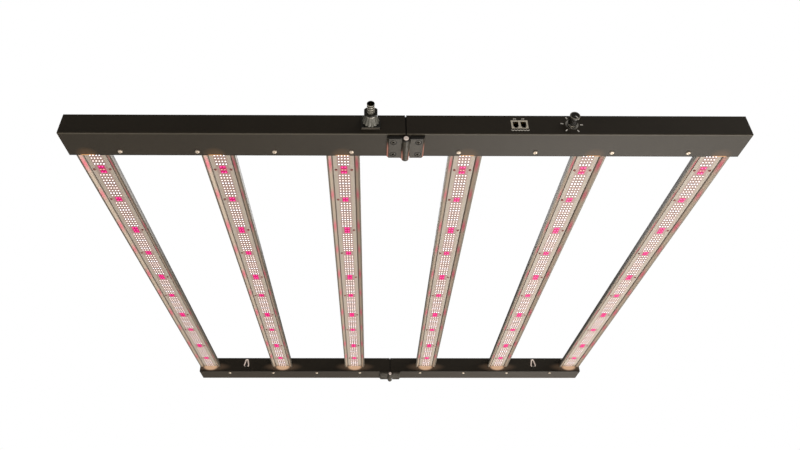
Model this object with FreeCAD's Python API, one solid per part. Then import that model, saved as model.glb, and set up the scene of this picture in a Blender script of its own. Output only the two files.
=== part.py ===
import FreeCAD, Part
import math
import os

# Foldable six-bar LED grow light, about 1.1 m square. All sizes are in millimetres.
# X runs along the two rails, Y from the front rail (controls) to the rear rail, +Z up.
# The LEDs face down. Two halves, left (-X) and right (+X), fold on two hinges.

LEFT = -1
RIGHT = 1
FRONT = -1
REAR = 1
SIDES = {"left": LEFT, "right": RIGHT}
ROWS = {"front": FRONT, "rear": REAR}

# Overall size
OVERALL_WIDTH = 1100.0
OVERALL_DEPTH = 1066.0
SEAM_GAP = 2.0

# Rails, folded from sheet steel
RAIL_DEPTH = 53.5
RAIL_HEIGHT = 40.5
SHEET = 1.5
BEND_RADIUS = 1.2
COVER_FLANGE = 18.0
CAP_THICKNESS = 2.0
CAP_TAB = 14.0

# Screws that join a rail's housing to its cover, seen on the underside
COVER_SCREW_FIRST_X = 87.5
COVER_SCREW_PITCH = 125.5
COVER_SCREW_COUNT = 4
COVER_SCREW_INSET = 10.0
COVER_SCREW_SHANK_R = 1.7
COVER_SCREW_HEAD_R = 3.8
COVER_SCREW_HEAD_H = 2.2
COVER_SCREW_LENGTH = 9.0

# Shape of a pan head, as shares of its radius and height
PAN_FLAT = 0.55
PAN_SHOULDER = 0.92
PAN_CROWN = 0.55

# Clearance round a screw's shank in its hole
SHANK_CLEARANCE = 0.3

# Light bars
BAR_FIRST_X = 102.5
BAR_PITCH = 208.5
BAR_NAMES = ["inner", "middle", "outer"]
BAR_BOTTOM = 12.0
BAR_HALF_WIDTH = 28.0
BAR_LIP = 3.0
BAR_CHANNEL_DEPTH = 3.75
BAR_SEAT_HALF = 19.0
BAR_SEAT_Z = 5.35
BAR_DECK_TOP = 8.7
BAR_WALL_TOP = 9.5
BAR_HEIGHT = 28.0
FIN_COUNT = 5
FIN_PITCH = 6.4
FIN_THICKNESS = 1.6
FIN_SETBACK = 26.0

# LED boards
BOARD_HALF_WIDTH = 18.0
BOARD_THICKNESS = 1.6
BOARD_END_GAP = 1.0
LED_ROW_PITCH = 7.55
LED_PATTERN_ROWS = 25
LED_PATTERN_REPEATS = 5
LED_SECOND_GROUP = 11.5
FIRST_GROUP_FROM_FRONT_FACE = 109.5
BOARD_SCREW_SIDE = 13.5
BOARD_SCREW_HEAD_R = 2.4
BOARD_SCREW_HEAD_H = 1.3
BOARD_SCREW_SHANK_R = 1.2
BOARD_SCREW_LENGTH = 3.6

# Angle brackets between a bar's end and the rail
BRACKET_HALF_WIDTH = 20.0
BRACKET_THICKNESS = 3.0
BRACKET_LEG = 22.0
BRACKET_SCREW_SIDE = 12.0
BRACKET_SCREW_REACH = 13.0
BRACKET_SCREW_RISE = 10.0
BRACKET_SCREW_SHANK_R = 1.9
BRACKET_SCREW_HEAD_R = 3.6
BRACKET_SCREW_HEAD_H = 2.4
BRACKET_SCREW_LENGTH = 5.4

# Hinges under the seam
HINGE_START = 4.0
HINGE_END = 52.5
HINGE_HALF_WIDTH = 30.0
LEAF_THICKNESS = 6.0
LEAF_INNER_X = 7.0
LEAF_SIDE_BEVEL = 3.0
LEAF_BEVEL_LAND = 1.5
LEAF_END_BEVEL = 1.2
KNUCKLE_R = 6.0
KNUCKLE_DROP = 6.35
KNUCKLE_END_LENGTH = 12.0
KNUCKLE_GAP = 0.3
KNUCKLE_WEB_X = 3.0
PIN_R = 2.5
PIN_RUNNING_GAP = 0.05
PIN_HEAD_R = 4.0
PIN_HEAD_H = 2.0
PIN_HEAD_EDGE = 0.8
PIN_TAIL = 0.6
HINGE_SCREW_X = 20.0
HINGE_SCREW_SPREAD = 28.5
HINGE_SCREW_HEAD_R = 4.7
HINGE_SCREW_HEAD_H = 2.8
HINGE_SCREW_SHANK_R = 2.2
HINGE_SCREW_LENGTH = 11.0
HINGE_SCREW_SINK = 0.2

# Power inlet on the left half's front face
INLET_X = -56.0
INLET_Z = 20.5
INLET_REACH = 46.0
INLET_FLANGE_HALF = 15.5
INLET_FLANGE_HEIGHT = 24.0
INLET_FLANGE_T = 4.5
INLET_NECK_R = 9.4
INLET_CONE_START = 9.0
INLET_CONE_END = 23.5
INLET_CONE_R = 12.5
INLET_CONE_LAND = 2.0
INLET_CONE_TIP_R = 8.6
INLET_BORE_R = 4.5
INLET_SHANK_R = 8.0
INLET_SHANK_LENGTH = 9.0
INLET_LOCKNUT_R = 11.0
INLET_LOCKNUT_T = 4.0
INLET_WASHER_R = 9.8
INLET_WASHER_T = 2.0
INLET_COLLAR_R = 12.1
INLET_COLLAR_TURN = 30.0
INLET_COLLAR_END = 28.5
INLET_NOSE_R = 6.15
INLET_ROOT_R = 5.6
INLET_NOSE_ROOT = 14.0
INLET_SOCKET_R = 4.4
INLET_SOCKET_DEPTH = 9.0
INLET_CONTACT_R = 0.8
INLET_CONTACT_CIRCLE_R = 2.4
INLET_CONTACT_LENGTH = 6.0
INLET_CONTACTS = 3
LOOSE_GAP = 0.3

# Twin dimming-signal jacks on the right half's front face
JACK_X = 181.5
JACK_Z = 20.5
JACK_HALF_WIDTH = 13.4
JACK_HEIGHT = 17.0
JACK_FRAME_OUT = 0.8
JACK_BODY_DEPTH = 17.0
JACK_BODY_MARGIN = 0.6
PORT_HALF_PITCH = 6.2
PORT_HALF_WIDTH = 4.4
PORT_BOTTOM = 15.6
PORT_TOP = 26.4
PORT_DEPTH = 13.0
LATCH_HALF_WIDTH = 3.0
LATCH_BOTTOM = 12.9
LATCH_DEPTH = 9.0

# Dimmer on the right half's front face
DIMMER_X = 265.0
DIMMER_Z = 20.5
KNOB_BASE = 4.6
KNOB_END = 21.4
KNOB_BASE_R = 7.5
KNOB_CAP_R = 8.2
KNOB_CAP_LENGTH = 4.0
KNOB_EDGE = 0.8
KNOB_RECESS_R = 6.2
KNOB_RECESS_DEPTH = 3.2
POINTER_ANGLE = -58.0
POINTER_WIDTH = 1.4
POINTER_DEPTH = 0.6
SHAFT_R = 3.0
SHAFT_END = 16.0
SHAFT_ROOT = 8.0
BUSHING_R = 3.5
BUSHING_END = 5.6
DIMMER_WASHER_R = 10.4
DIMMER_WASHER_T = 1.0
DIMMER_NUT_R = 5.8
DIMMER_NUT_T = 2.4
POT_BODY_R = 8.5
POT_BODY_LENGTH = 9.5
POT_HOLE_R = 3.8

# Hanging rings on the rails' inner faces
RING_X = 416.0
RING_PIVOT_Z = 15.0
RING_PIVOT_OFFSET = 3.4
RING_WIRE_R = 1.7
RING_HALF_BASE = 6.6
RING_APEX_HALF = 2.6
RING_RISE = 18.8
RING_CORNER_R = 2.4
CLIP_HALF_WIDTH = 3.9
CLIP_TUBE_R = 3.2
CLIP_PLATE_T = 1.4
CLIP_PLATE_DROP = 8.5
CLIP_PLATE_RISE = 3.2
CLIP_BORE_GAP = 0.06

# Drivers inside the front rail
DRIVER_START_X = 112.0
DRIVER_LENGTH = 400.0
DRIVER_DEPTH = 33.0
DRIVER_HEIGHT = 30.0
RIGHT_DRIVER_START_X = 290.0
RIGHT_DRIVER_LENGTH = 240.0

# Places in the row's frame that follow from the sizes above
HALF_WIDTH = OVERALL_WIDTH / 2
FRONT_FACE_Y = -(OVERALL_DEPTH - INLET_REACH) / 2
REAR_FACE_Y = FRONT_FACE_Y + OVERALL_DEPTH
UNDERSIDE = KNUCKLE_DROP + KNUCKLE_R
RAIL_START_X = SEAM_GAP / 2
BAR_Z = UNDERSIDE + BAR_BOTTOM
SEAT_Z = BAR_Z + BAR_SEAT_Z
BOARD_FACE_Z = SEAT_Z - BOARD_THICKNESS
X_AXIS = FreeCAD.Vector(1, 0, 0)
Y_AXIS = FreeCAD.Vector(0, 1, 0)
Z_AXIS = FreeCAD.Vector(0, 0, 1)


def outer_face(row):
    """Y of a rail's outer face."""
    if row == FRONT:
        return FRONT_FACE_Y
    return REAR_FACE_Y


def depth_y(row, depth):
    """Y at a depth measured from a rail's outer face towards the bars."""
    return outer_face(row) - row * depth


def block(x_pair, y_pair, z_pair):
    """Box between two values on each axis, given in any order."""
    x0, x1 = sorted(x_pair)
    y0, y1 = sorted(y_pair)
    z0, z1 = sorted(z_pair)
    return Part.makeBox(x1 - x0, y1 - y0, z1 - z0, FreeCAD.Vector(x0, y0, z0))


def rod(radius, start, direction, length):
    """Cylinder from a start point along a direction."""
    return Part.makeCylinder(radius, length, FreeCAD.Vector(*start), direction)


def prism_x(points, x0, x1):
    """Extrude a closed outline in the YZ plane from x0 to x1."""
    low = min(x0, x1)
    corners = [FreeCAD.Vector(low, y, z) for y, z in points]
    face = Part.Face(Part.makePolygon(corners + corners[:1]))
    return face.extrude(FreeCAD.Vector(abs(x1 - x0), 0, 0))


def prism_y(points, y0, y1):
    """Extrude a closed outline in the XZ plane from y0 to y1."""
    low = min(y0, y1)
    corners = [FreeCAD.Vector(x, low, z) for x, z in points]
    face = Part.Face(Part.makePolygon(corners + corners[:1]))
    return face.extrude(FreeCAD.Vector(0, abs(y1 - y0), 0))


def turned(points, centre, direction):
    """Revolve an outline of (radius, height) points about an axis through centre."""
    corners = [FreeCAD.Vector(r, 0, h) for r, h in points]
    face = Part.Face(Part.makePolygon(corners + corners[:1]))
    body = face.revolve(FreeCAD.Vector(0, 0, 0), Z_AXIS, 360)
    turn = FreeCAD.Rotation(Z_AXIS, direction)
    body.Placement = FreeCAD.Placement(FreeCAD.Vector(*centre), turn)
    return body


def hexagon(corner_r, centre, length, turn=0.0):
    """Hexagonal prism growing towards -Y from its centre point, turned about its axis."""
    x, y, z = centre
    points = []
    for corner in range(6):
        angle = math.radians(60 * corner + turn)
        points.append((x + corner_r * math.cos(angle), z + corner_r * math.sin(angle)))
    return prism_y(points, y - length, y)


def all_of(solids):
    """Fuse a list of solids into one body."""
    body = solids[0]
    for solid in solids[1:]:
        body = body.fuse(solid)
    return body.removeSplitter()


def without(body, tools):
    """Cut a list of tools out of a body."""
    for tool in tools:
        body = body.cut(tool)
    return body


def save(name, solids):
    """Write one node's solids as a STEP file."""
    shape = solids[0]
    if len(solids) > 1:
        shape = Part.makeCompound(solids)
    shape.exportStep(os.path.join("parts", name + ".step"))


# ---- places of repeated features ----

def cover_screw_xs(side):
    return [side * (COVER_SCREW_FIRST_X + COVER_SCREW_PITCH * i) for i in range(COVER_SCREW_COUNT)]


def bar_xs(side):
    return [side * (BAR_FIRST_X + BAR_PITCH * i) for i in range(len(BAR_NAMES))]


def hinge_screw_depths():
    middle = (HINGE_START + HINGE_END) / 2
    return [middle - HINGE_SCREW_SPREAD / 2, middle + HINGE_SCREW_SPREAD / 2]


def board_screw_places(bar_x):
    """Board screws: one beside each group of red LEDs, and two beside the first."""
    first_y = FRONT_FACE_Y + FIRST_GROUP_FROM_FRONT_FACE
    places = [(bar_x - BOARD_SCREW_SIDE, first_y)]
    for repeat in range(LED_PATTERN_REPEATS):
        group_y = first_y + LED_ROW_PITCH * LED_PATTERN_ROWS * repeat
        places.append((bar_x + BOARD_SCREW_SIDE, group_y))
        places.append((bar_x - BOARD_SCREW_SIDE, group_y + LED_ROW_PITCH * LED_SECOND_GROUP))
    return places


def bracket_screw_xs(bar_x):
    return [bar_x - BRACKET_SCREW_SIDE, bar_x + BRACKET_SCREW_SIDE]


# ---- rails ----

def hinge_screw_holes(side, row):
    """Shank holes through the floor of a rail, above a hinge leaf."""
    holes = []
    for depth in hinge_screw_depths():
        start = (side * HINGE_SCREW_X, depth_y(row, depth), UNDERSIDE - 1)
        holes.append(rod(HINGE_SCREW_SHANK_R + SHANK_CLEARANCE, start, Z_AXIS, 3 * SHEET))
    return holes


def cover_screw_holes(side, row):
    """Shank holes through the floor of a rail and the cover's lower flange."""
    holes = []
    y = depth_y(row, RAIL_DEPTH - COVER_SCREW_INSET)
    for x in cover_screw_xs(side):
        start = (x, y, UNDERSIDE - 1)
        holes.append(rod(COVER_SCREW_SHANK_R + SHANK_CLEARANCE, start, Z_AXIS, 3 * SHEET))
    return holes


def round_long_edges(body, edge_y):
    """Round the two long bends of a housing on its outer face."""
    edges = []
    for edge in body.Edges:
        box = edge.BoundBox
        along_x = box.XLength > HALF_WIDTH / 2
        on_face = abs(box.YMin - edge_y) < 0.01 and abs(box.YMax - edge_y) < 0.01
        if along_x and on_face:
            edges.append(edge)
    return body.makeFillet(BEND_RADIUS, edges)


def housing_blank(side, row):
    """C-shaped rail: floor, outer wall and roof, open towards the bars."""
    top = UNDERSIDE + RAIL_HEIGHT
    outer = depth_y(row, 0)
    wall = depth_y(row, SHEET)
    lip = depth_y(row, RAIL_DEPTH)
    outline = [
        (outer, UNDERSIDE),
        (lip, UNDERSIDE),
        (lip, UNDERSIDE + SHEET),
        (wall, UNDERSIDE + SHEET),
        (wall, top - SHEET),
        (lip, top - SHEET),
        (lip, top),
        (outer, top),
    ]
    blank = prism_x(outline, side * RAIL_START_X, side * HALF_WIDTH)
    return round_long_edges(blank, outer)


def front_wall_cutouts(side):
    """Openings in the front rail's outer wall for the inlet or the controls."""
    y = FRONT_FACE_Y - 1
    if side == LEFT:
        start = (INLET_X, y, UNDERSIDE + INLET_Z)
        return [rod(INLET_SHANK_R + LOOSE_GAP, start, Y_AXIS, 3 * SHEET)]
    start = (DIMMER_X, y, UNDERSIDE + DIMMER_Z)
    half = JACK_HALF_WIDTH - 2 * JACK_BODY_MARGIN + LOOSE_GAP
    half_height = JACK_HEIGHT / 2 - 2 * JACK_BODY_MARGIN + LOOSE_GAP
    middle = UNDERSIDE + JACK_Z
    window = block(
        (JACK_X - half, JACK_X + half),
        (y, y + 3 * SHEET),
        (middle - half_height, middle + half_height),
    )
    return [rod(POT_HOLE_R, start, Y_AXIS, 3 * SHEET), window]


def make_housing(side, row):
    tools = hinge_screw_holes(side, row) + cover_screw_holes(side, row)
    if row == FRONT:
        tools += front_wall_cutouts(side)
    return without(housing_blank(side, row), tools)


def bracket_wall_holes(side, row):
    """Holes in the cover's wall for the screws of the bar brackets."""
    holes = []
    z = BAR_Z + BAR_DECK_TOP + BRACKET_SCREW_RISE
    for bar_x in bar_xs(side):
        for x in bracket_screw_xs(bar_x):
            start = (x, depth_y(row, RAIL_DEPTH - 3 * SHEET), z)
            direction = Y_AXIS * -row
            holes.append(rod(BRACKET_SCREW_SHANK_R + SHANK_CLEARANCE, start, direction, 5 * SHEET))
    return holes


def make_cover(side, row):
    """Inner cover of a rail: a wall between two flanges that lie inside the housing."""
    low = UNDERSIDE + SHEET
    high = UNDERSIDE + RAIL_HEIGHT - SHEET
    face = depth_y(row, RAIL_DEPTH)
    inside = depth_y(row, RAIL_DEPTH - SHEET)
    edge = depth_y(row, RAIL_DEPTH - COVER_FLANGE)
    outline = [
        (face, low),
        (edge, low),
        (edge, low + SHEET),
        (inside, low + SHEET),
        (inside, high - SHEET),
        (edge, high - SHEET),
        (edge, high),
        (face, high),
    ]
    blank = prism_x(outline, side * RAIL_START_X, side * HALF_WIDTH)
    tools = hinge_screw_holes(side, row) + cover_screw_holes(side, row)
    return without(blank, tools + bracket_wall_holes(side, row))


def make_cap(side, row, end_x, inward):
    """End cap inside a rail's end: a plate with a tab folded along the outer wall."""
    low = UNDERSIDE + 2 * SHEET
    high = UNDERSIDE + RAIL_HEIGHT - 2 * SHEET
    plate = block(
        (end_x, end_x + inward * CAP_THICKNESS),
        (depth_y(row, SHEET), depth_y(row, RAIL_DEPTH - SHEET)),
        (low, high),
    )
    tab = block(
        (end_x, end_x + inward * CAP_TAB),
        (depth_y(row, SHEET), depth_y(row, SHEET + CAP_THICKNESS)),
        (low, high),
    )
    lower_filler = block(
        (end_x, end_x + inward * CAP_THICKNESS),
        (depth_y(row, SHEET), depth_y(row, RAIL_DEPTH - COVER_FLANGE)),
        (low - SHEET, low),
    )
    upper_filler = block(
        (end_x, end_x + inward * CAP_THICKNESS),
        (depth_y(row, SHEET), depth_y(row, RAIL_DEPTH - COVER_FLANGE)),
        (high, high + SHEET),
    )
    return all_of([plate, tab, lower_filler, upper_filler])


def make_outer_caps(side):
    return [make_cap(side, row, side * HALF_WIDTH, -side) for row in ROWS.values()]


def make_inner_caps(side):
    return [make_cap(side, row, side * RAIL_START_X, side) for row in ROWS.values()]


def pan_screw(place, direction, head_r, head_h, shank_r, length):
    """Pan-head screw: head outside the place point, shank along the direction."""
    crown = PAN_CROWN * head_h
    outline = [
        (0, -head_h),
        (PAN_FLAT * head_r, -head_h),
        (PAN_SHOULDER * head_r, -crown),
        (head_r, 0),
        (shank_r, 0),
        (shank_r, length),
        (0, length),
    ]
    return turned(outline, place, direction)


def make_cover_screws(side):
    """Silver pan-head screws under both rails of one half."""
    screws = []
    for row in ROWS.values():
        y = depth_y(row, RAIL_DEPTH - COVER_SCREW_INSET)
        for x in cover_screw_xs(side):
            screws.append(pan_screw(
                (x, y, UNDERSIDE), Z_AXIS,
                COVER_SCREW_HEAD_R, COVER_SCREW_HEAD_H, COVER_SCREW_SHANK_R, COVER_SCREW_LENGTH,
            ))
    return screws


# ---- light bars ----

def bar_outline(bar_x):
    """Section of the bar below its fins: a deck between upright walls, over an open channel."""
    half = [
        (BAR_HALF_WIDTH, 0),
        (BAR_HALF_WIDTH, BAR_WALL_TOP),
        (BAR_HALF_WIDTH - BAR_LIP, BAR_WALL_TOP),
        (BAR_HALF_WIDTH - BAR_LIP, BAR_DECK_TOP),
    ]
    channel = [
        (BAR_SEAT_HALF, BAR_SEAT_Z),
        (BAR_SEAT_HALF, BAR_CHANNEL_DEPTH),
        (BAR_HALF_WIDTH - BAR_LIP, 0),
    ]
    right = [(bar_x + x, BAR_Z + z) for x, z in half]
    left = [(bar_x - x, BAR_Z + z) for x, z in reversed(half)]
    inside_left = [(bar_x - x, BAR_Z + z) for x, z in reversed(channel)]
    inside_right = [(bar_x + x, BAR_Z + z) for x, z in channel]
    return right + left + inside_left + inside_right


def bar_fins(bar_x):
    """Upright fins on the bar's deck, stopping short of both brackets."""
    fins = []
    first = bar_x - FIN_PITCH * (FIN_COUNT - 1) / 2
    y0 = depth_y(FRONT, RAIL_DEPTH + FIN_SETBACK)
    y1 = depth_y(REAR, RAIL_DEPTH + FIN_SETBACK)
    low = BAR_Z + BAR_DECK_TOP - FIN_THICKNESS / 2
    for i in range(FIN_COUNT):
        x = first + FIN_PITCH * i
        fins.append(block(
            (x - FIN_THICKNESS / 2, x + FIN_THICKNESS / 2),
            (y0, y1),
            (low, BAR_Z + BAR_HEIGHT),
        ))
    return fins


def bar_screw_holes(bar_x):
    """Holes in the bar's deck for the board screws and the bracket screws."""
    holes = []
    for x, y in board_screw_places(bar_x):
        radius = BOARD_SCREW_SHANK_R + SHANK_CLEARANCE
        holes.append(rod(radius, (x, y, SEAT_Z - 1), Z_AXIS, 1 + BOARD_SCREW_LENGTH - BOARD_THICKNESS))
    for row in ROWS.values():
        y = depth_y(row, RAIL_DEPTH + BRACKET_SCREW_REACH)
        for x in bracket_screw_xs(bar_x):
            radius = BRACKET_SCREW_SHANK_R + SHANK_CLEARANCE
            holes.append(rod(radius, (x, y, SEAT_Z - 1), Z_AXIS, 2 * BRACKET_THICKNESS))
    return holes


def make_heatsink(bar_x):
    y0 = depth_y(FRONT, RAIL_DEPTH)
    y1 = depth_y(REAR, RAIL_DEPTH)
    channel = prism_y(bar_outline(bar_x), y0, y1)
    body = all_of([channel] + bar_fins(bar_x))
    return without(body, bar_screw_holes(bar_x))


def make_board(bar_x):
    """Bare circuit board on the seat of a bar, facing down."""
    y0 = depth_y(FRONT, RAIL_DEPTH + BOARD_END_GAP)
    y1 = depth_y(REAR, RAIL_DEPTH + BOARD_END_GAP)
    board = block(
        (bar_x - BOARD_HALF_WIDTH, bar_x + BOARD_HALF_WIDTH),
        (y0, y1),
        (BOARD_FACE_Z, SEAT_Z),
    )
    holes = []
    for x, y in board_screw_places(bar_x):
        radius = BOARD_SCREW_SHANK_R + SHANK_CLEARANCE
        holes.append(rod(radius, (x, y, BOARD_FACE_Z - 1), Z_AXIS, 2 * BOARD_SCREW_LENGTH))
    return without(board, holes)


def make_board_screws(side):
    screws = []
    for bar_x in bar_xs(side):
        for x, y in board_screw_places(bar_x):
            screws.append(pan_screw(
                (x, y, BOARD_FACE_Z), Z_AXIS,
                BOARD_SCREW_HEAD_R, BOARD_SCREW_HEAD_H, BOARD_SCREW_SHANK_R,
                BOARD_SCREW_LENGTH - SHANK_CLEARANCE,
            ))
    return screws


def make_bracket(bar_x, row):
    """Angle bracket standing on the bar's deck against the rail's cover."""
    low = BAR_Z + BAR_DECK_TOP
    face = depth_y(row, RAIL_DEPTH)
    foot = block(
        (bar_x - BRACKET_HALF_WIDTH, bar_x + BRACKET_HALF_WIDTH),
        (face, depth_y(row, RAIL_DEPTH + BRACKET_LEG)),
        (low, low + BRACKET_THICKNESS),
    )
    back = block(
        (bar_x - BRACKET_HALF_WIDTH, bar_x + BRACKET_HALF_WIDTH),
        (face, depth_y(row, RAIL_DEPTH + BRACKET_THICKNESS)),
        (low, BAR_Z + BAR_HEIGHT - 1),
    )
    holes = []
    radius = BRACKET_SCREW_SHANK_R + SHANK_CLEARANCE
    for x in bracket_screw_xs(bar_x):
        foot_start = (x, depth_y(row, RAIL_DEPTH + BRACKET_SCREW_REACH), low - 1)
        holes.append(rod(radius, foot_start, Z_AXIS, 2 * BRACKET_THICKNESS))
        back_start = (x, depth_y(row, RAIL_DEPTH - 1), low + BRACKET_SCREW_RISE)
        holes.append(rod(radius, back_start, Y_AXIS * -row, 2 * BRACKET_THICKNESS))
    return without(all_of([foot, back]), holes)


def make_brackets(side):
    return [make_bracket(x, row) for row in ROWS.values() for x in bar_xs(side)]


def make_bracket_screws(side):
    """Screws through each bracket: two into the rail and two into the bar."""
    screws = []
    low = BAR_Z + BAR_DECK_TOP
    sizes = (BRACKET_SCREW_HEAD_R, BRACKET_SCREW_HEAD_H, BRACKET_SCREW_SHANK_R, BRACKET_SCREW_LENGTH)
    for row in ROWS.values():
        for bar_x in bar_xs(side):
            for x in bracket_screw_xs(bar_x):
                on_foot = (x, depth_y(row, RAIL_DEPTH + BRACKET_SCREW_REACH), low + BRACKET_THICKNESS)
                screws.append(pan_screw(on_foot, Z_AXIS * -1, *sizes))
                on_back = (x, depth_y(row, RAIL_DEPTH + BRACKET_THICKNESS), low + BRACKET_SCREW_RISE)
                screws.append(pan_screw(on_back, Y_AXIS * row, *sizes))
    return screws


# ---- hinges ----

def leaf_plate(side, row):
    """Leaf under one half, bevelled on its outer side and at both ends."""
    bottom = UNDERSIDE - LEAF_THICKNESS
    outline = [
        (side * LEAF_INNER_X, UNDERSIDE),
        (side * HINGE_HALF_WIDTH, UNDERSIDE),
        (side * HINGE_HALF_WIDTH, UNDERSIDE - LEAF_BEVEL_LAND),
        (side * (HINGE_HALF_WIDTH - LEAF_SIDE_BEVEL), bottom),
        (side * LEAF_INNER_X, bottom),
    ]
    start = depth_y(row, HINGE_START)
    end = depth_y(row, HINGE_END)
    plate = prism_y(outline, start, end)
    for y, way in ((start, -row), (end, row)):
        wedge = [
            (y, bottom),
            (y + way * LEAF_END_BEVEL, bottom),
            (y, bottom + LEAF_THICKNESS - LEAF_BEVEL_LAND),
        ]
        plate = plate.cut(prism_x(wedge, side * (LEAF_INNER_X - 1), side * (HINGE_HALF_WIDTH + 1)))
    return plate


def knuckle(side, row, start, end, bore_r):
    """One barrel knuckle with the web that joins it to its leaf."""
    axis_z = UNDERSIDE - KNUCKLE_DROP
    y0 = min(depth_y(row, start), depth_y(row, end))
    length = abs(end - start)
    barrel = rod(KNUCKLE_R, (0, y0, axis_z), Y_AXIS, length)
    web = block(
        (side * KNUCKLE_WEB_X, side * (LEAF_INNER_X + 1)),
        (y0, y0 + length),
        (UNDERSIDE - LEAF_THICKNESS, UNDERSIDE),
    )
    bore = rod(bore_r, (0, y0 - 1, axis_z), Y_AXIS, length + 2)
    return all_of([barrel, web]).cut(bore)


def countersink(side, row, depth):
    """Hole and countersink for one hinge screw."""
    x = side * HINGE_SCREW_X
    y = depth_y(row, depth)
    bottom = UNDERSIDE - LEAF_THICKNESS
    shank = rod(HINGE_SCREW_SHANK_R + SHANK_CLEARANCE, (x, y, bottom - 1), Z_AXIS, 2 * LEAF_THICKNESS)
    wide = HINGE_SCREW_HEAD_R + SHANK_CLEARANCE
    cone = Part.makeCone(
        wide, HINGE_SCREW_SHANK_R + SHANK_CLEARANCE,
        HINGE_SCREW_HEAD_H + HINGE_SCREW_SINK,
        FreeCAD.Vector(x, y, bottom), Z_AXIS,
    )
    return [shank, cone]


def make_leaf(side, row):
    """Left leaves carry the two end knuckles, right leaves the middle one."""
    first = HINGE_START + KNUCKLE_END_LENGTH
    last = HINGE_END - KNUCKLE_END_LENGTH
    if side == LEFT:
        spans = [(HINGE_START, first), (last, HINGE_END)]
        bore_r = PIN_R
    else:
        spans = [(first + KNUCKLE_GAP, last - KNUCKLE_GAP)]
        bore_r = PIN_R + PIN_RUNNING_GAP
    solids = [leaf_plate(side, row)]
    for start, end in spans:
        solids.append(knuckle(side, row, start, end, bore_r))
    tools = []
    for depth in hinge_screw_depths():
        tools += countersink(side, row, depth)
    return without(all_of(solids), tools)


def make_hinge_pin(row):
    """Hinge pin with a round head at its front end."""
    y = min(depth_y(row, HINGE_START), depth_y(row, HINGE_END))
    length = HINGE_END - HINGE_START + PIN_TAIL
    outline = [
        (0, -PIN_HEAD_H),
        (PIN_HEAD_R - PIN_HEAD_EDGE, -PIN_HEAD_H),
        (PIN_HEAD_R, -PIN_HEAD_H + PIN_HEAD_EDGE),
        (PIN_HEAD_R, 0),
        (PIN_R, 0),
        (PIN_R, length),
        (0, length),
    ]
    return turned(outline, (0, y, UNDERSIDE - KNUCKLE_DROP), Y_AXIS)


def make_hinge_screws(side):
    """Countersunk screws of both hinges' leaves on one half."""
    screws = []
    base = UNDERSIDE - LEAF_THICKNESS + HINGE_SCREW_SINK
    outline = [
        (0, 0),
        (HINGE_SCREW_HEAD_R, 0),
        (HINGE_SCREW_SHANK_R, HINGE_SCREW_HEAD_H),
        (HINGE_SCREW_SHANK_R, HINGE_SCREW_LENGTH),
        (0, HINGE_SCREW_LENGTH),
    ]
    for row in ROWS.values():
        for depth in hinge_screw_depths():
            screws.append(turned(outline, (side * HINGE_SCREW_X, depth_y(row, depth), base), Z_AXIS))
    return screws


# ---- power inlet ----

def inlet_point(out):
    """Point on the inlet's axis at a distance out from the front face."""
    return (INLET_X, FRONT_FACE_Y - out, UNDERSIDE + INLET_Z)


def make_inlet_body():
    """Flange, waisted neck and cone in front of the wall, threaded shank behind it."""
    x, y, z = inlet_point(0)
    flange = block(
        (x - INLET_FLANGE_HALF, x + INLET_FLANGE_HALF),
        (y - INLET_FLANGE_T, y),
        (z - INLET_FLANGE_HEIGHT / 2, z + INLET_FLANGE_HEIGHT / 2),
    )
    inside = -INLET_SHANK_LENGTH
    nose_hole = INLET_ROOT_R + LOOSE_GAP
    outline = [
        (INLET_BORE_R, inside),
        (INLET_SHANK_R, inside),
        (INLET_SHANK_R, 0),
        (INLET_NECK_R, 0),
        (INLET_NECK_R, INLET_CONE_START),
        (INLET_CONE_R, INLET_CONE_START),
        (INLET_CONE_R, INLET_CONE_START + INLET_CONE_LAND),
        (INLET_CONE_TIP_R, INLET_CONE_END),
        (nose_hole, INLET_CONE_END),
        (nose_hole, INLET_NOSE_ROOT),
        (INLET_BORE_R, INLET_NOSE_ROOT),
    ]
    core = turned(outline, inlet_point(0), Y_AXIS * -1)
    hole = rod(INLET_NECK_R - 1, (x, y - INLET_FLANGE_T - 1, z), Y_AXIS, INLET_FLANGE_T + 2)
    return all_of([flange.cut(hole), core])


def make_inlet_locknut():
    """Nut that clamps the inlet from inside the rail."""
    x, y, z = inlet_point(-SHEET - INLET_LOCKNUT_T)
    nut = hexagon(INLET_LOCKNUT_R, (x, y, z), INLET_LOCKNUT_T)
    hole = rod(INLET_SHANK_R + LOOSE_GAP, (x, y - INLET_LOCKNUT_T - 1, z), Y_AXIS, INLET_LOCKNUT_T + 2)
    return nut.cut(hole)


def make_inlet_washer():
    start = inlet_point(INLET_CONE_END)
    ring = rod(INLET_WASHER_R, start, Y_AXIS * -1, INLET_WASHER_T)
    hole = rod(INLET_ROOT_R + LOOSE_GAP, start, Y_AXIS * -1, INLET_WASHER_T)
    return ring.cut(hole)


def make_inlet_collar():
    """Hexagonal collar in front of the washer."""
    start = inlet_point(INLET_CONE_END + INLET_WASHER_T)
    length = INLET_COLLAR_END - INLET_CONE_END - INLET_WASHER_T
    collar = hexagon(INLET_COLLAR_R, start, length, INLET_COLLAR_TURN)
    hole = rod(INLET_ROOT_R + LOOSE_GAP, start, Y_AXIS * -1, length)
    return collar.cut(hole)


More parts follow.
